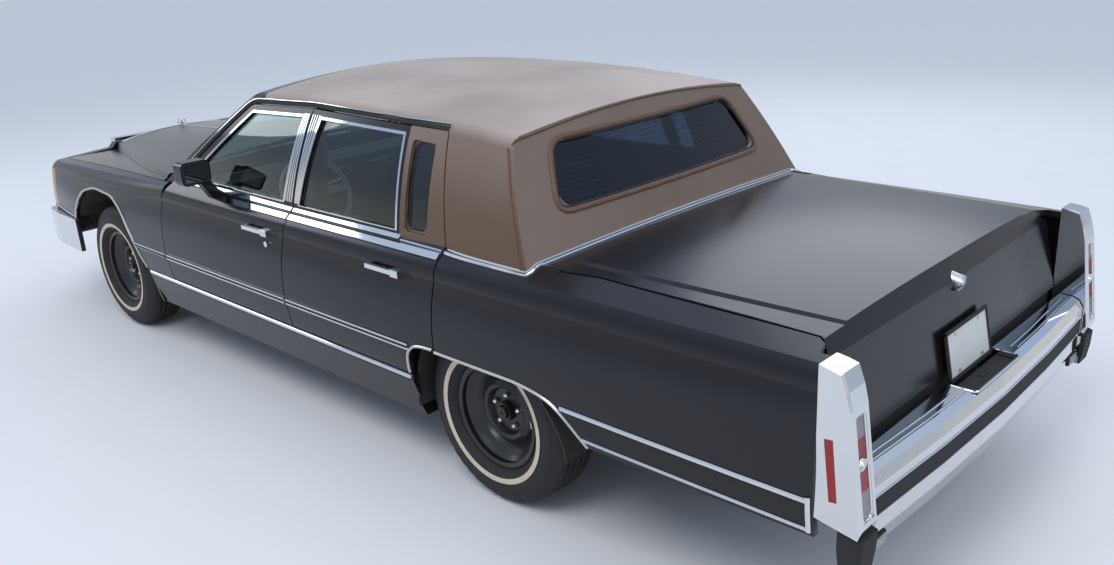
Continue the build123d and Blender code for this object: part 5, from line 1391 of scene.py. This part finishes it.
@dataclass
class Lining:
    """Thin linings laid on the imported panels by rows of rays."""

    nodes: dict[str, bpy.types.Object]
    cloth_lift: float = 0.005
    card_lift: float = 0.008
    thickness: float = 0.003
    reach: float = 0.22
    roof_x: Flat = (-1.20, 0.28)
    roof_half: float = 0.56
    cabin_x: Flat = (-0.76, 1.12)
    cabin_half: float = 0.78
    trunk_x: Flat = (-2.55, -1.45)
    trunk_half: float = 0.56
    card_z: Flat = (0.48, 0.90)
    cards: tuple[tuple[str, Flat], ...] = (("front", (-0.090, 0.860)), ("rear", (-0.860, -0.170)))

    def patch(self, name: str, panels: Sequence[str], rows: Sequence[Sequence[Point]], aim: Point,
              lift: float, finish: Finish, body: str = "car") -> bpy.types.Object:
        """Lay one lining.

        Args:
            name: The piece's name.
            panels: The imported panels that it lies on.
            rows: Rows of points from which the rays start.
            aim: The rays' direction.
            lift: How far the lining stands off the panels.
            finish: Its finish.
            body: The body it rides on.

        Returns:
            The piece, a closed sheet.
        """
        surface = BodySurface(self.nodes, panels)
        back = Vector(aim).normalized() * -lift
        found = [[surface.hit(start, aim) for start in row] for row in rows]
        numbers: dict[tuple[int, int], int] = {}
        verts, faces = [], []
        for i, row in enumerate(found):
            for j, spot in enumerate(row):
                if spot is not None:
                    numbers[i, j] = len(verts)
                    verts.append(spot[0] + back)
        for i in range(len(found) - 1):
            for j in range(len(found[0]) - 1):
                corners = [(i, j), (i, j + 1), (i + 1, j + 1), (i + 1, j)]
                if all(corner in numbers for corner in corners):
                    face = [numbers[corner] for corner in corners]
                    edges = zip(face, face[1:] + face[:1])
                    if max((verts[a] - verts[b]).length for a, b in edges) < self.reach:
                        faces.append(face)
        piece = new_piece(name, verts, faces, [finish], sharp=60.0)
        thick = piece.modifiers.new("thickness", "SOLIDIFY")
        thick.thickness = self.thickness
        thick.offset = 0.0
        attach(piece, body)
        return piece

    def grid(self, x_span: Flat, half: float, height: float, rows: int, columns: int) -> list[list[Point]]:
        """Give the level rows of points from which rays go up or down.

        Args:
            x_span: The rows' first and last place along the car.
            half: Half of a row's length.
            height: The points' height.
            rows: How many rows there are.
            columns: How many points a row has.

        Returns:
            The rows.
        """
        return [[(x, y, height) for y in steps(-half, half, columns)] for x in steps(*x_span, rows)]

    def build(self) -> list[bpy.types.Object]:
        """Lay the headlining, the carpets, the trunk lining and the door cards."""
        up, down = (0, 0, 1), (0, 0, -1)
        roof = self.grid(self.roof_x, self.roof_half, 1.15, 31, 25)
        cabin = self.grid(self.cabin_x, self.cabin_half, 0.62, 61, 53)
        trunk = self.grid(self.trunk_x, self.trunk_half, 0.80, 25, 25)
        made = [
            self.patch("headlining", ("vinyl_roof", "body_pillars"), roof, up, self.cloth_lift, HEADLINER),
            self.patch("cabin_carpet", ("floor_pan",), cabin, down, self.cloth_lift, CARPET),
            self.patch("trunk_carpet", ("floor_pan",), trunk, down, self.cloth_lift, CARPET),
        ]
        for name, side in BOTH_SIDES:
            for door, x_span in self.cards:
                node = f"{door}_door_{name}"
                rows = [[(x, side * 0.45, z) for x in steps(*x_span, 31)] for z in steps(*self.card_z, 15)]
                made.append(self.patch(f"{door}_door_card_{name}", (node,), rows, (0, side, 0),
                                       self.card_lift, SEAT, node))
        made.append(self.trunk_sides())
        return made

    def trunk_sides(self) -> bpy.types.Object:
        """Stand the trunk's side linings behind the wheel wells."""
        bag = MeshBag()
        for _, side in BOTH_SIDES:
            low, high = span(side, 0.852, 0.858)
            bag.box((-2.580, low, 0.464), (-1.690, high, 0.900))
            low, high = span(side, 0.560, 0.885)
            bag.box((-2.600, low, 0.461), (-1.680, high, 0.465))
        return mount(bag, "trunk_side_linings", [CARPET])


@dataclass
class CabinDetails:
    """The inside mirror, wipers, door mirrors, door furniture and the dashboard's fittings."""

    nodes: dict[str, bpy.types.Object]
    gauge_y: tuple[float, ...] = (0.28, 0.37, 0.46)
    gauge_z: float = 0.872
    speaker: Flat = (-1.40, 0.42)

    def build(self) -> list[bpy.types.Object]:
        """Build the cabin's small pieces."""
        return [self.inside_mirror(), self.wipers(), *self.door_mirrors(), *self.door_furniture(),
                self.gauges(), self.stalks(), self.shelf_fittings(), *self.seat_belts(), self.sun_visors()]

    def inside_mirror(self) -> bpy.types.Object:
        """Hang the inside mirror from the header."""
        bag = MeshBag()
        bag.box((0.462, -0.125, 1.262), (0.482, 0.125, 1.322))
        bag.box((0.4605, -0.118, 1.269), (0.4625, 0.118, 1.315), 1)
        bag.round_bar((0.474, 0, 1.315), (0.462, 0, 1.372), 0.007, 12)
        return mount(bag, "inside_mirror", [DASH, MIRROR_GLASS], "car")

    def wipers(self) -> bpy.types.Object:
        """Park the two wipers at the foot of the windshield."""
        bag = MeshBag()
        surface = BodySurface(self.nodes, ("windshield", "cowl", "body_pillars"))
        for pivot_y, foot_y, tip_y in ((0.52, 0.30, -0.10), (-0.14, -0.30, -0.70)):
            foot = surface.hit((3.0, foot_y, 1.010), (-1, 0, 0))
            tip = surface.hit((3.0, tip_y, 1.016), (-1, 0, 0))
            pivot = surface.from_above(1.130, pivot_y)
            if foot is None or tip is None or pivot is None:
                continue
            low, high = foot[0] + foot[1] * 0.010, tip[0] + tip[1] * 0.010
            middle = (low + high) / 2 + Vector((0.012, 0, 0.006))
            base = pivot[0]
            bag.round_bar(base, base + Vector((0, 0, 0.024)), 0.012, 16)
            bag.round_bar(base + Vector((0, 0, 0.018)), middle, 0.0065, 10, end_radius=0.004)
            bag.round_bar(low, high, 0.0045, 8)
            for share in (0.2, 0.5, 0.8):
                point = low.lerp(high, share)
                bag.round_bar(point, point + Vector((0.008, 0, 0.008)), 0.0030, 8)
        return mount(bag, "wipers", [BLACK_RUBBER], "car")

    def door_mirrors(self) -> list[bpy.types.Object]:
        """Face each door mirror with its glass in a rubber surround, on the side that looks back."""
        made = []
        for name, side in BOTH_SIDES:
            bag = MeshBag()
            low, high = span(side, 0.918, 1.030)
            bag.box((0.4850, low, 1.034), (0.4890, high, 1.114))
            edge = rounded([(0.4875, low - 0.004, 1.030), (0.4875, high + 0.004, 1.030),
                            (0.4875, high + 0.004, 1.118), (0.4875, low - 0.004, 1.118)], 0.014, closed=True)
            bag.tube(strip_rings(facing(edge, (-1, 0, 0)), 0.006, 0.004), mark=1)
            made.append(mount(bag, f"mirror_glass_{name}", [DARK_MIRROR, BLACK_RUBBER], f"front_door_{name}"))
        return made

    def door_furniture(self) -> list[bpy.types.Object]:
        """Give each door its arm rest, pull, lock pin and bright card strip."""
        made = []
        for name, side in BOTH_SIDES:
            for door, x_low, x_high in (("front", 0.02, 0.56), ("rear", -0.74, -0.30)):
                bag = MeshBag()
                surface = BodySurface(self.nodes, (f"{door}_door_{name}",))
                middle = (x_low + x_high) / 2
                card = surface.hit((middle, side * 0.45, 0.64), (0, side, 0))
                wall = abs(card[0].y) - 0.008 if card else 0.78
                y_low, y_high = span(side, wall - 0.062, wall + 0.006)
                bag.box((x_low, y_low, 0.615), (x_high, y_high, 0.668))
                strip_low, strip_high = span(side, wall - 0.006, wall + 0.008)
                bag.box((x_low - 0.05, strip_low, 0.735), (x_high + 0.05, strip_high, 0.747), 1)
                bag.box((x_high - 0.14, strip_low, 0.700), (x_high - 0.04, strip_high, 0.722), 1)
                sill = surface.hit((x_low, side * 0.45, 0.93), (0, side, 0))
                if sill is not None:
                    pin_y = sill[0].y - side * 0.004
                    bag.round_bar((x_low + 0.01, pin_y, 0.925), (x_low + 0.01, pin_y, 0.985), 0.0045, 10, 1)
                made.append(mount(bag, f"{door}_door_furniture_{name}", [SEAT, CHROME],
                                  f"{door}_door_{name}"))
        return made

    def gauges(self) -> bpy.types.Object:
        """Set the gauges, vents, radio and glove box lid in the dashboard's face."""
        bag = MeshBag()
        face = BodySurface(self.nodes, ("dashboard",))

        def front(y: float, z: float) -> float:
            """Give the x of the dashboard's face at a place across and a height."""
            spot = face.hit((0.2, y, z), (1, 0, 0))
            return spot[0].x if spot else 0.735

        z = self.gauge_z
        for y in self.gauge_y:
            x = front(y, z)
            bag.round_bar((x - 0.006, y, z), (x + 0.006, y, z), 0.040, 36, 1)
            bag.round_bar((x - 0.008, y, z), (x - 0.005, y, z), 0.036, 36, 0)
            for i in range(9):
                angle = math.radians(-210 + 30 * i)
                dy, dz = math.cos(angle), math.sin(angle)
                bag.round_bar((x - 0.0085, y + 0.028 * dy, z - 0.028 * dz),
                              (x - 0.0085, y + 0.033 * dy, z - 0.033 * dz), 0.0007, 6, 2)
            bag.round_bar((x - 0.009, y, z), (x - 0.009, y + 0.016, z + 0.018), 0.0008, 6, 3)
        for low, high, mark in (((0.10, 0.790), (0.22, 0.840), 0), ((-0.05, 0.850), (0.10, 0.885), 0),
                                ((-0.30, 0.850), (-0.15, 0.885), 0), ((-0.62, 0.850), (-0.47, 0.885), 0),
                                ((-0.62, 0.720), (-0.28, 0.820), 4)):
            x = front((low[0] + high[0]) / 2, (low[1] + high[1]) / 2)
            bag.box((x - 0.004, low[0], low[1]), (x + 0.010, high[0], high[1]), mark)
            if mark == 0:
                for i in range(1, 5):
                    z = low[1] + (high[1] - low[1]) * i / 5
                    bag.box((x - 0.007, low[0] + 0.006, z - 0.0015),
                            (x - 0.002, high[0] - 0.006, z + 0.0015), 1)
        return mount(bag, "dashboard_fittings", [GAUGE_FACE, CHROME, PLATE, RED_PAINT, DASH], "car")

    def stalks(self) -> bpy.types.Object:
        """Set the turn and gear stalks on the steering column."""
        bag = MeshBag()
        bag.round_bar((0.545, 0.370, 0.832), (0.500, 0.560, 0.852), 0.0050, 12, end_radius=0.0080)
        bag.round_bar((0.575, 0.370, 0.830), (0.520, 0.165, 0.880), 0.0060, 12, end_radius=0.0050)
        bag.round_bar((0.520, 0.165, 0.880), (0.512, 0.140, 0.886), 0.0120, 16, 1, end_radius=0.0100)
        return mount(bag, "column_stalks", [CHROME, DASH], "car")

    def shelf_fittings(self) -> bpy.types.Object:
        """Set two speaker grilles on the package shelf."""
        bag = MeshBag()
        shelf = BodySurface(self.nodes, ("package_shelf",))
        for _, side in BOTH_SIDES:
            middle_x, middle_y = self.speaker[0], side * self.speaker[1]
            spot = shelf.hit((middle_x, middle_y, 1.30), (0, 0, -1))
            if spot is None:
                continue
            z = spot[0].z
            bag.box((middle_x - 0.065, middle_y - 0.11, z - 0.001),
                    (middle_x + 0.065, middle_y + 0.11, z + 0.012))
            for i in range(8):
                x = middle_x - 0.055 + 0.016 * i
                bag.box((x, middle_y - 0.10, z + 0.011), (x + 0.006, middle_y + 0.10, z + 0.0145))
        return mount(bag, "shelf_speakers", [DASH], "car")

    def seat_belts(self) -> list[bpy.types.Object]:
        """Hang the front belts beside the posts, with their bright tongues."""
        made = []
        for name, side in BOTH_SIDES:
            bag = MeshBag()
            line = [(-0.150, side * 0.690, 1.230), (-0.158, side * 0.722, 1.000),
                    (-0.160, side * 0.728, 0.700), (-0.155, side * 0.724, 0.330)]
            half, thick = 0.022, side * 0.0022
            rings = [[(x - half, y, z), (x + half, y, z), (x + half, y - thick, z), (x - half, y - thick, z)]
                     for x, y, z in spread(line, 0.05)]
            bag.tube(rings)
            low, high = span(side, 0.716, 0.732)
            bag.box((-0.182, low, 0.840), (-0.136, high, 0.895), 1)
            made.append(mount(bag, f"front_belt_{name}", [CARPET, CHROME]))
        return made

    def sun_visors(self) -> bpy.types.Object:
        """Fold the two sun visors up under the header."""
        bag = MeshBag()
        for _, side in BOTH_SIDES:
            low, high = span(side, 0.10, 0.50)
            turn = Matrix.Translation((0.300, 0, 1.352)) @ Matrix.Rotation(math.radians(12), 4, "Y")
            bag.box((-0.085, low, -0.009), (0.085, high, 0.009), 0, turn)
        return mount(bag, "sun_visors", [HEADLINER])


@dataclass
class FrontDetails:
    """The lamp bezels, the hood's bright lines and the cowl's vents."""

    surface: BodySurface
    lamp_columns: tuple[Flat, ...] = ((0.442, 0.598), (0.612, 0.768))
    lamp_row: Flat = (0.668, 0.806)
    turn_row: Flat = (0.602, 0.648)
    face_x: float = 2.704
    hood_x: Flat = (1.24, 2.56)
    hood_edge_x: float = 2.622
    strip_edges: Flat = (0.449, 0.515)

    def build(self) -> list[bpy.types.Object]:
        """Build the front's small pieces."""
        return [self.bezels(), self.reflectors(), self.hood_lines(), self.cowl_vents(), self.bumper_edges()]

    def frame(self, bag: MeshBag, columns: Flat, row: Flat, side: int, width: float, height: float) -> None:
        """Add one rounded bright frame round a lamp."""
        low, high = columns
        corners = [(self.face_x, side * low, row[0]), (self.face_x, side * high, row[0]),
                   (self.face_x, side * high, row[1]), (self.face_x, side * low, row[1])]
        line = spread(rounded(corners, 0.018, closed=True), 0.02)
        bag.tube(strip_rings(facing(line, (1, 0, 0)), width, height))

    def bezels(self) -> bpy.types.Object:
        """Frame the head lamps and the turn lamps."""
        bag = MeshBag()
        for _, side in BOTH_SIDES:
            for columns in self.lamp_columns:
                self.frame(bag, columns, self.lamp_row, side, 0.012, 0.008)
            whole = (self.lamp_columns[0][0], self.lamp_columns[1][1])
            self.frame(bag, whole, self.turn_row, side, 0.009, 0.006)
        return mount(bag, "lamp_bezels", [CHROME], "car")

    def reflectors(self) -> bpy.types.Object:
        """Set the sealed lamps' inner rims and the moulded points of their lenses."""
        bag = MeshBag()
        for _, side in BOTH_SIDES:
            for low, high in self.lamp_columns:
                middle_y, middle_z = side * (low + high) / 2, sum(self.lamp_row) / 2
                bag.round_bar((self.face_x + 0.0010, middle_y, middle_z),
                              (self.face_x + 0.0030, middle_y, middle_z), 0.013, 24, 0, end_radius=0.011)
                for dy in (-0.052, 0.0, 0.052):
                    spot = (self.face_x - 0.001, middle_y + dy, middle_z + (0.048 if dy == 0.0 else -0.044))
                    bag.round_bar(spot, (spot[0] + 0.006, spot[1], spot[2]), 0.0045, 12, 0, end_radius=0.003)
        return mount(bag, "lamp_marks", [SILVER_REFLECTOR], "car")

    def hood_lines(self) -> bpy.types.Object:
        """Run a fine bright line down the middle of the hood and across its front edge."""
        bag = MeshBag()
        middle = [self.surface.from_above(x, 0.0) for x in steps(*self.hood_x, 34)]
        front = [self.surface.from_above(self.hood_edge_x, y) for y in steps(-0.40, 0.40, 21)]
        for found, width, height in ((middle, 0.010, 0.004), (front, 0.014, 0.005)):
            spots = smooth_spots([spot for spot in found if spot])
            if len(spots) > 1:
                bag.tube(strip_rings(spots, width, height))
        return mount(bag, "hood_lines", [CHROME], "hood")

    def cowl_vents(self) -> bpy.types.Object:
        """Cut the row of vents in the cowl, as dark slats."""
        bag = MeshBag()
        for i in range(31):
            y = -0.60 + 0.04 * i
            spot = self.surface.from_above(1.150 - 0.06 * (y / 0.6) ** 2, y)
            if spot is not None:
                place = spot[0]
                bag.box((place.x - 0.022, place.y - 0.008, place.z - 0.002),
                        (place.x + 0.022, place.y + 0.008, place.z + 0.0018))
        return mount(bag, "cowl_vents", [BLACK_RUBBER])

    def bumper_edges(self) -> bpy.types.Object:
        """Edge the front bumper's black strip with two fine bright beads."""
        bag = MeshBag()
        for z in self.strip_edges:
            found = [self.surface.hit((3.2, y, z), (-1, 0, 0)) for y in steps(-0.80, 0.80, 41)]
            spots = smooth_spots([spot for spot in found if spot and spot[0].x > 2.70])
            if len(spots) > 1:
                bag.tube(strip_rings(spots, 0.005, 0.003))
        return mount(bag, "front_bumper_edges", [CHROME], "car")


@dataclass
class EngineBay:
    """What stands on and beside the plain engine block, and the trunk's fittings."""

    block_top: float = 0.800
    cleaner_x: float = 1.700
    fan_centre: Point = (2.110, 0.0, 0.640)
    spare_centre: Point = (-1.700, 0.0, 0.540)
    spare_rows: int = 72

    def build(self) -> list[bpy.types.Object]:
        """Build the engine bay's and the trunk's pieces."""
        return [self.air_cleaner(), self.valve_covers(), self.battery(), self.fan(), self.hoses(),
                self.spare_wheel()]

    def air_cleaner(self) -> bpy.types.Object:
        """Set the round air cleaner with its snout on the engine."""
        bag = MeshBag()
        x, z = self.cleaner_x, self.block_top
        for low, high, radius, end in ((0.000, 0.020, 0.070, 0.085), (0.020, 0.034, 0.190, 0.205),
                                       (0.034, 0.072, 0.205, 0.205), (0.072, 0.082, 0.212, 0.190)):
            bag.round_bar((x, 0, z + low), (x, 0, z + high), radius, 56, 0, end_radius=end)
        bag.round_bar((x, 0, z + 0.082), (x, 0, z + 0.096), 0.012, 12, 1, end_radius=0.009)
        bag.round_bar((x + 0.16, 0.08, z + 0.052), (x + 0.42, 0.20, z + 0.040), 0.040, 24, 0,
                      end_radius=0.046)
        return mount(bag, "air_cleaner", [BLACK_ENAMEL, CHROME])

    def valve_covers(self) -> bpy.types.Object:
        """Set the two valve covers with their bolts and plug leads."""
        bag = MeshBag()
        for _, side in BOTH_SIDES:
            low, high = span(side, 0.165, 0.282)
            bag.box((1.400, low, self.block_top - 0.002), (2.000, high, self.block_top + 0.046), 0)
            for i in range(4):
                x = 1.46 + 0.16 * i
                bag.round_bar((x, side * 0.276, self.block_top + 0.03),
                              (x, side * 0.290, self.block_top + 0.03), 0.009, 12, 1)
                path = [(x, side * 0.288, self.block_top - 0.02),
                        (x + 0.01, side * 0.318, self.block_top + 0.02),
                        (x - 0.02, side * 0.300, self.block_top + 0.06),
                        (1.36, side * 0.10, self.block_top + 0.05)]
                lead = rounded(path, 0.05)
                for a, b in zip(lead, lead[1:]):
                    bag.round_bar(a, b, 0.0042, 8, 1)
        return mount(bag, "valve_covers", [ENGINE_BLUE, BLACK_RUBBER])

    def battery(self) -> bpy.types.Object:
        """Stand the battery and the washer bottle beside the radiator."""
        bag = MeshBag()
        bag.box((2.310, 0.390, 0.600), (2.480, 0.620, 0.790), 0)
        bag.box((2.300, 0.380, 0.590), (2.490, 0.630, 0.604), 0)
        for y in (0.430, 0.580):
            bag.round_bar((2.345, y, 0.788), (2.345, y, 0.806), 0.010, 14, 1)
        bag.box((2.300, -0.610, 0.600), (2.460, -0.430, 0.770), 2)
        bag.round_bar((2.380, -0.520, 0.768), (2.380, -0.520, 0.786), 0.024, 20, 0)
        return mount(bag, "battery_and_bottle", [BLACK_ENAMEL, CAST, PLATE])

    def fan(self) -> bpy.types.Object:
        """Hang the fan on the engine's nose, inside its shroud ring."""
        bag = MeshBag()
        centre = Vector(self.fan_centre)
        bag.round_bar(centre - Vector((0.052, 0, 0)), centre + Vector((0.03, 0, 0)), 0.045, 24, 0)
        for i in range(6):
            angle = 2 * math.pi * i / 6
            out = Vector((0, math.cos(angle), math.sin(angle)))
            tilt = out.cross(Vector((1, 0, 0)))
            rings = []
            for reach, half in ((0.040, 0.018), (0.120, 0.042), (0.185, 0.050)):
                spot = centre + out * reach
                edge = tilt * half + Vector((half * 0.45, 0, 0))
                rings.append([spot - edge, spot + edge, spot + edge + Vector((0.0025, 0, 0)),
                              spot - edge + Vector((0.0025, 0, 0))])
            bag.tube(rings)
        return mount(bag, "cooling_fan", [BLACK_ENAMEL])

    def hoses(self) -> bpy.types.Object:
        """Run the two radiator hoses from the engine's nose to the radiator."""
        bag = MeshBag()
        for path, radius in (([(2.055, -0.12, 0.760), (2.20, -0.14, 0.800), (2.36, -0.22, 0.800),
                               (2.475, -0.24, 0.790)], 0.021),
                             ([(2.055, 0.16, 0.500), (2.20, 0.20, 0.470), (2.36, 0.26, 0.470),
                               (2.475, 0.27, 0.470)], 0.023)):
            line = rounded(path, 0.07)
            rings = []
            for i, point in enumerate(line):
                before, after = Vector(line[max(i - 1, 0)]), Vector(line[min(i + 1, len(line) - 1)])
                along = (after - before).normalized()
                across = along.cross(Vector((0, 0, 1))).normalized()
                up = across.cross(along)
                rings.append([Vector(point) + across * (radius * math.cos(a)) + up * (radius * math.sin(a))
                              for a in (2 * math.pi * k / 20 for k in range(20))])
            bag.tube(rings)
        return mount(bag, "radiator_hoses", [BLACK_RUBBER])

    def spare_wheel(self) -> bpy.types.Object:
        """Lay the small spare wheel under its cover at the front of the trunk floor."""
        bag = MeshBag()
        centre = Vector(self.spare_centre)
        profile = ((0.165, -0.050), (0.175, -0.062), (0.240, -0.064), (0.290, -0.050), (0.302, -0.020),
                   (0.302, 0.020), (0.290, 0.050), (0.240, 0.064), (0.175, 0.062), (0.165, 0.050),
                   (0.150, 0.040), (0.060, 0.020), (0.060, 0.010), (0.150, 0.026), (0.155, -0.040))
        rubber_faces, steel_faces = 9, 6
        rings = []
        for row in range(self.spare_rows):
            angle = 2 * math.pi * row / self.spare_rows
            rings.append([centre + Vector((r * math.cos(angle), r * math.sin(angle), z))
                          for r, z in profile])
        bag.wheel(rings, [0] * rubber_faces + [1] * steel_faces)
        return mount(bag, "spare_wheel", [TREAD_RUBBER, WHEEL_PAINT])


@dataclass
class Underbody:
    """The springs, dampers, straps and hangers seen from below."""

    front_x: float = FRONT_AXLE_X
    rear_x: float = REAR_AXLE_X
    front_y: float = 0.545
    rear_y: float = 0.455
    line_y: Flat = (0.630, 0.642)
    line_z: float = 0.262

    def coil(self, bag: MeshBag, x: float, y: float, low: float, high: float, radius: float, wire: float,
             turns: float) -> None:
        """Add one coil spring.

        Args:
            bag: The mesh to add to.
            x: Its axis's place along the car.
            y: Its axis's place across.
            low: Its lowest height.
            high: Its highest height.
            radius: Its radius to the wire's middle.
            wire: The wire's radius.
            turns: Its number of turns.
        """
        count = round(turns * 20)
        rings = []
        for i in range(count + 1):
            angle = 2 * math.pi * turns * i / count
            z = low + (high - low) * i / count
            out = Vector((math.cos(angle), math.sin(angle), 0))
            spot = Vector((x, y, z)) + out * radius
            rings.append([spot + out * (wire * math.cos(a)) + Vector((0, 0, wire * math.sin(a)))
                          for a in (2 * math.pi * k / 8 for k in range(8))])
        bag.tube(rings)

    def build(self) -> list[bpy.types.Object]:
        """Build the underbody's pieces."""
        return [self.springs(), self.dampers(), self.tank_straps(), self.brake_lines()]

    def springs(self) -> bpy.types.Object:
        """Set a coil spring over each arm and on each end of the rear axle."""
        bag = MeshBag()
        for _, side in BOTH_SIDES:
            self.coil(bag, self.front_x, side * self.front_y, 0.212, 0.490, 0.045, 0.0075, 6.5)
            self.coil(bag, self.rear_x, side * self.rear_y, 0.392, 0.455, 0.048, 0.0070, 3.0)
        return mount(bag, "road_springs", [UNDERBODY], "car")

    def dampers(self) -> bpy.types.Object:
        """Set a damper beside each spring."""
        bag = MeshBag()
        for _, side in BOTH_SIDES:
            y = side * self.front_y
            bag.round_bar((self.front_x, y, 0.206), (self.front_x, y, 0.400), 0.022, 20, 0)
            bag.round_bar((self.front_x, y, 0.400), (self.front_x, y, 0.494), 0.008, 12, 1)
            bag.round_bar((self.rear_x - 0.085, side * 0.50, 0.290),
                          (self.rear_x - 0.130, side * 0.470, 0.430), 0.024, 20, 0)
            low, high = span(side, 0.485, 0.515)
            bag.box((self.rear_x - 0.100, low, 0.275), (self.rear_x - 0.020, high, 0.315), 0)
        return mount(bag, "dampers", [UNDERBODY, BARE_STEEL], "car")

    def tank_straps(self) -> bpy.types.Object:
        """Pass two straps under the fuel tank."""
        bag = MeshBag()
        low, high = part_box("fuel_tank")
        for share in (0.25, 0.75):
            y = low[1] + (high[1] - low[1]) * share
            bag.box((low[0] - 0.006, y - 0.016, low[2] - 0.003), (high[0] + 0.006, y + 0.016, low[2] + 0.001))
            for x in (low[0] - 0.004, high[0] + 0.001):
                bag.box((x, y - 0.016, low[2] - 0.002), (x + 0.003, y + 0.016, high[2] + 0.002))
        return mount(bag, "tank_straps", [BARE_STEEL], "car")

    def brake_lines(self) -> bpy.types.Object:
        """Clip the brake and fuel lines along the left frame rail."""
        bag = MeshBag()
        for y in self.line_y:
            path = [(1.10, y, self.line_z), (0.40, y, self.line_z), (-0.60, y, self.line_z)]
            for a, b in zip(path, path[1:]):
                bag.round_bar(a, b, 0.0035, 8)
        for i in range(8):
            x = 1.05 - 0.22 * i
            bag.box((x - 0.008, 0.622, 0.255), (x + 0.008, 0.650, 0.268))
        return mount(bag, "brake_lines", [BARE_STEEL], "car")


def dress_packed_nodes(frame: dict) -> None:
    """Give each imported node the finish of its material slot.
    """
    special = {"rear_window": DARK_GLASS, "front_lamps": CLEAR_LENS, "steering_wheel": PALE_RIM}
    for row in frame["record"]["subparts"]:
        node = frame["nodes"][row["node"]]
        finish = special.get(row["node"], SLOT_FINISH[row["material_slot"]])
        node.data.materials.clear()
        node.data.materials.append(finish.material())
    LOG.info("dressed %d packed nodes", len(frame["nodes"]))


def main() -> None:
    """Build the studio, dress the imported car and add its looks."""
    logging.basicConfig(level=logging.INFO, format="%(message)s")
    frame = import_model()
    Studio().build()
    dress_packed_nodes(frame)
    panels = ("front_fenders", "body_sides", "vinyl_roof", "body_pillars", "front_door_left",
              "front_door_right", "rear_door_left", "rear_door_right", "rear_door_vinyl_left",
              "rear_door_vinyl_right", "hood", "trunk_lid", "cowl", "windshield", "rear_window")
    surface = BodySurface(frame["nodes"], panels)
    vinyl = BodySurface(frame["nodes"], ("vinyl_roof",))
    deck = BodySurface(frame["nodes"], ("body_sides",))
    front = BodySurface(frame["nodes"], ("bumpers", "hood", "cowl"))
    screen = BodySurface(frame["nodes"], ("windshield", "body_pillars", "cowl"))
    nodes = frame["nodes"]
    for assembly in (Wheels(), BodyMouldings(surface, vinyl, deck, screen), Seats(), TailDetails(),
                     Lining(nodes), CabinDetails(nodes), FrontDetails(front), EngineBay(), Underbody()):
        for piece in assembly.build():
            LOG.info("%s: %s, %d faces", type(assembly).__name__, piece.name, len(piece.data.polygons))


if __name__ == "__main__":
    main()
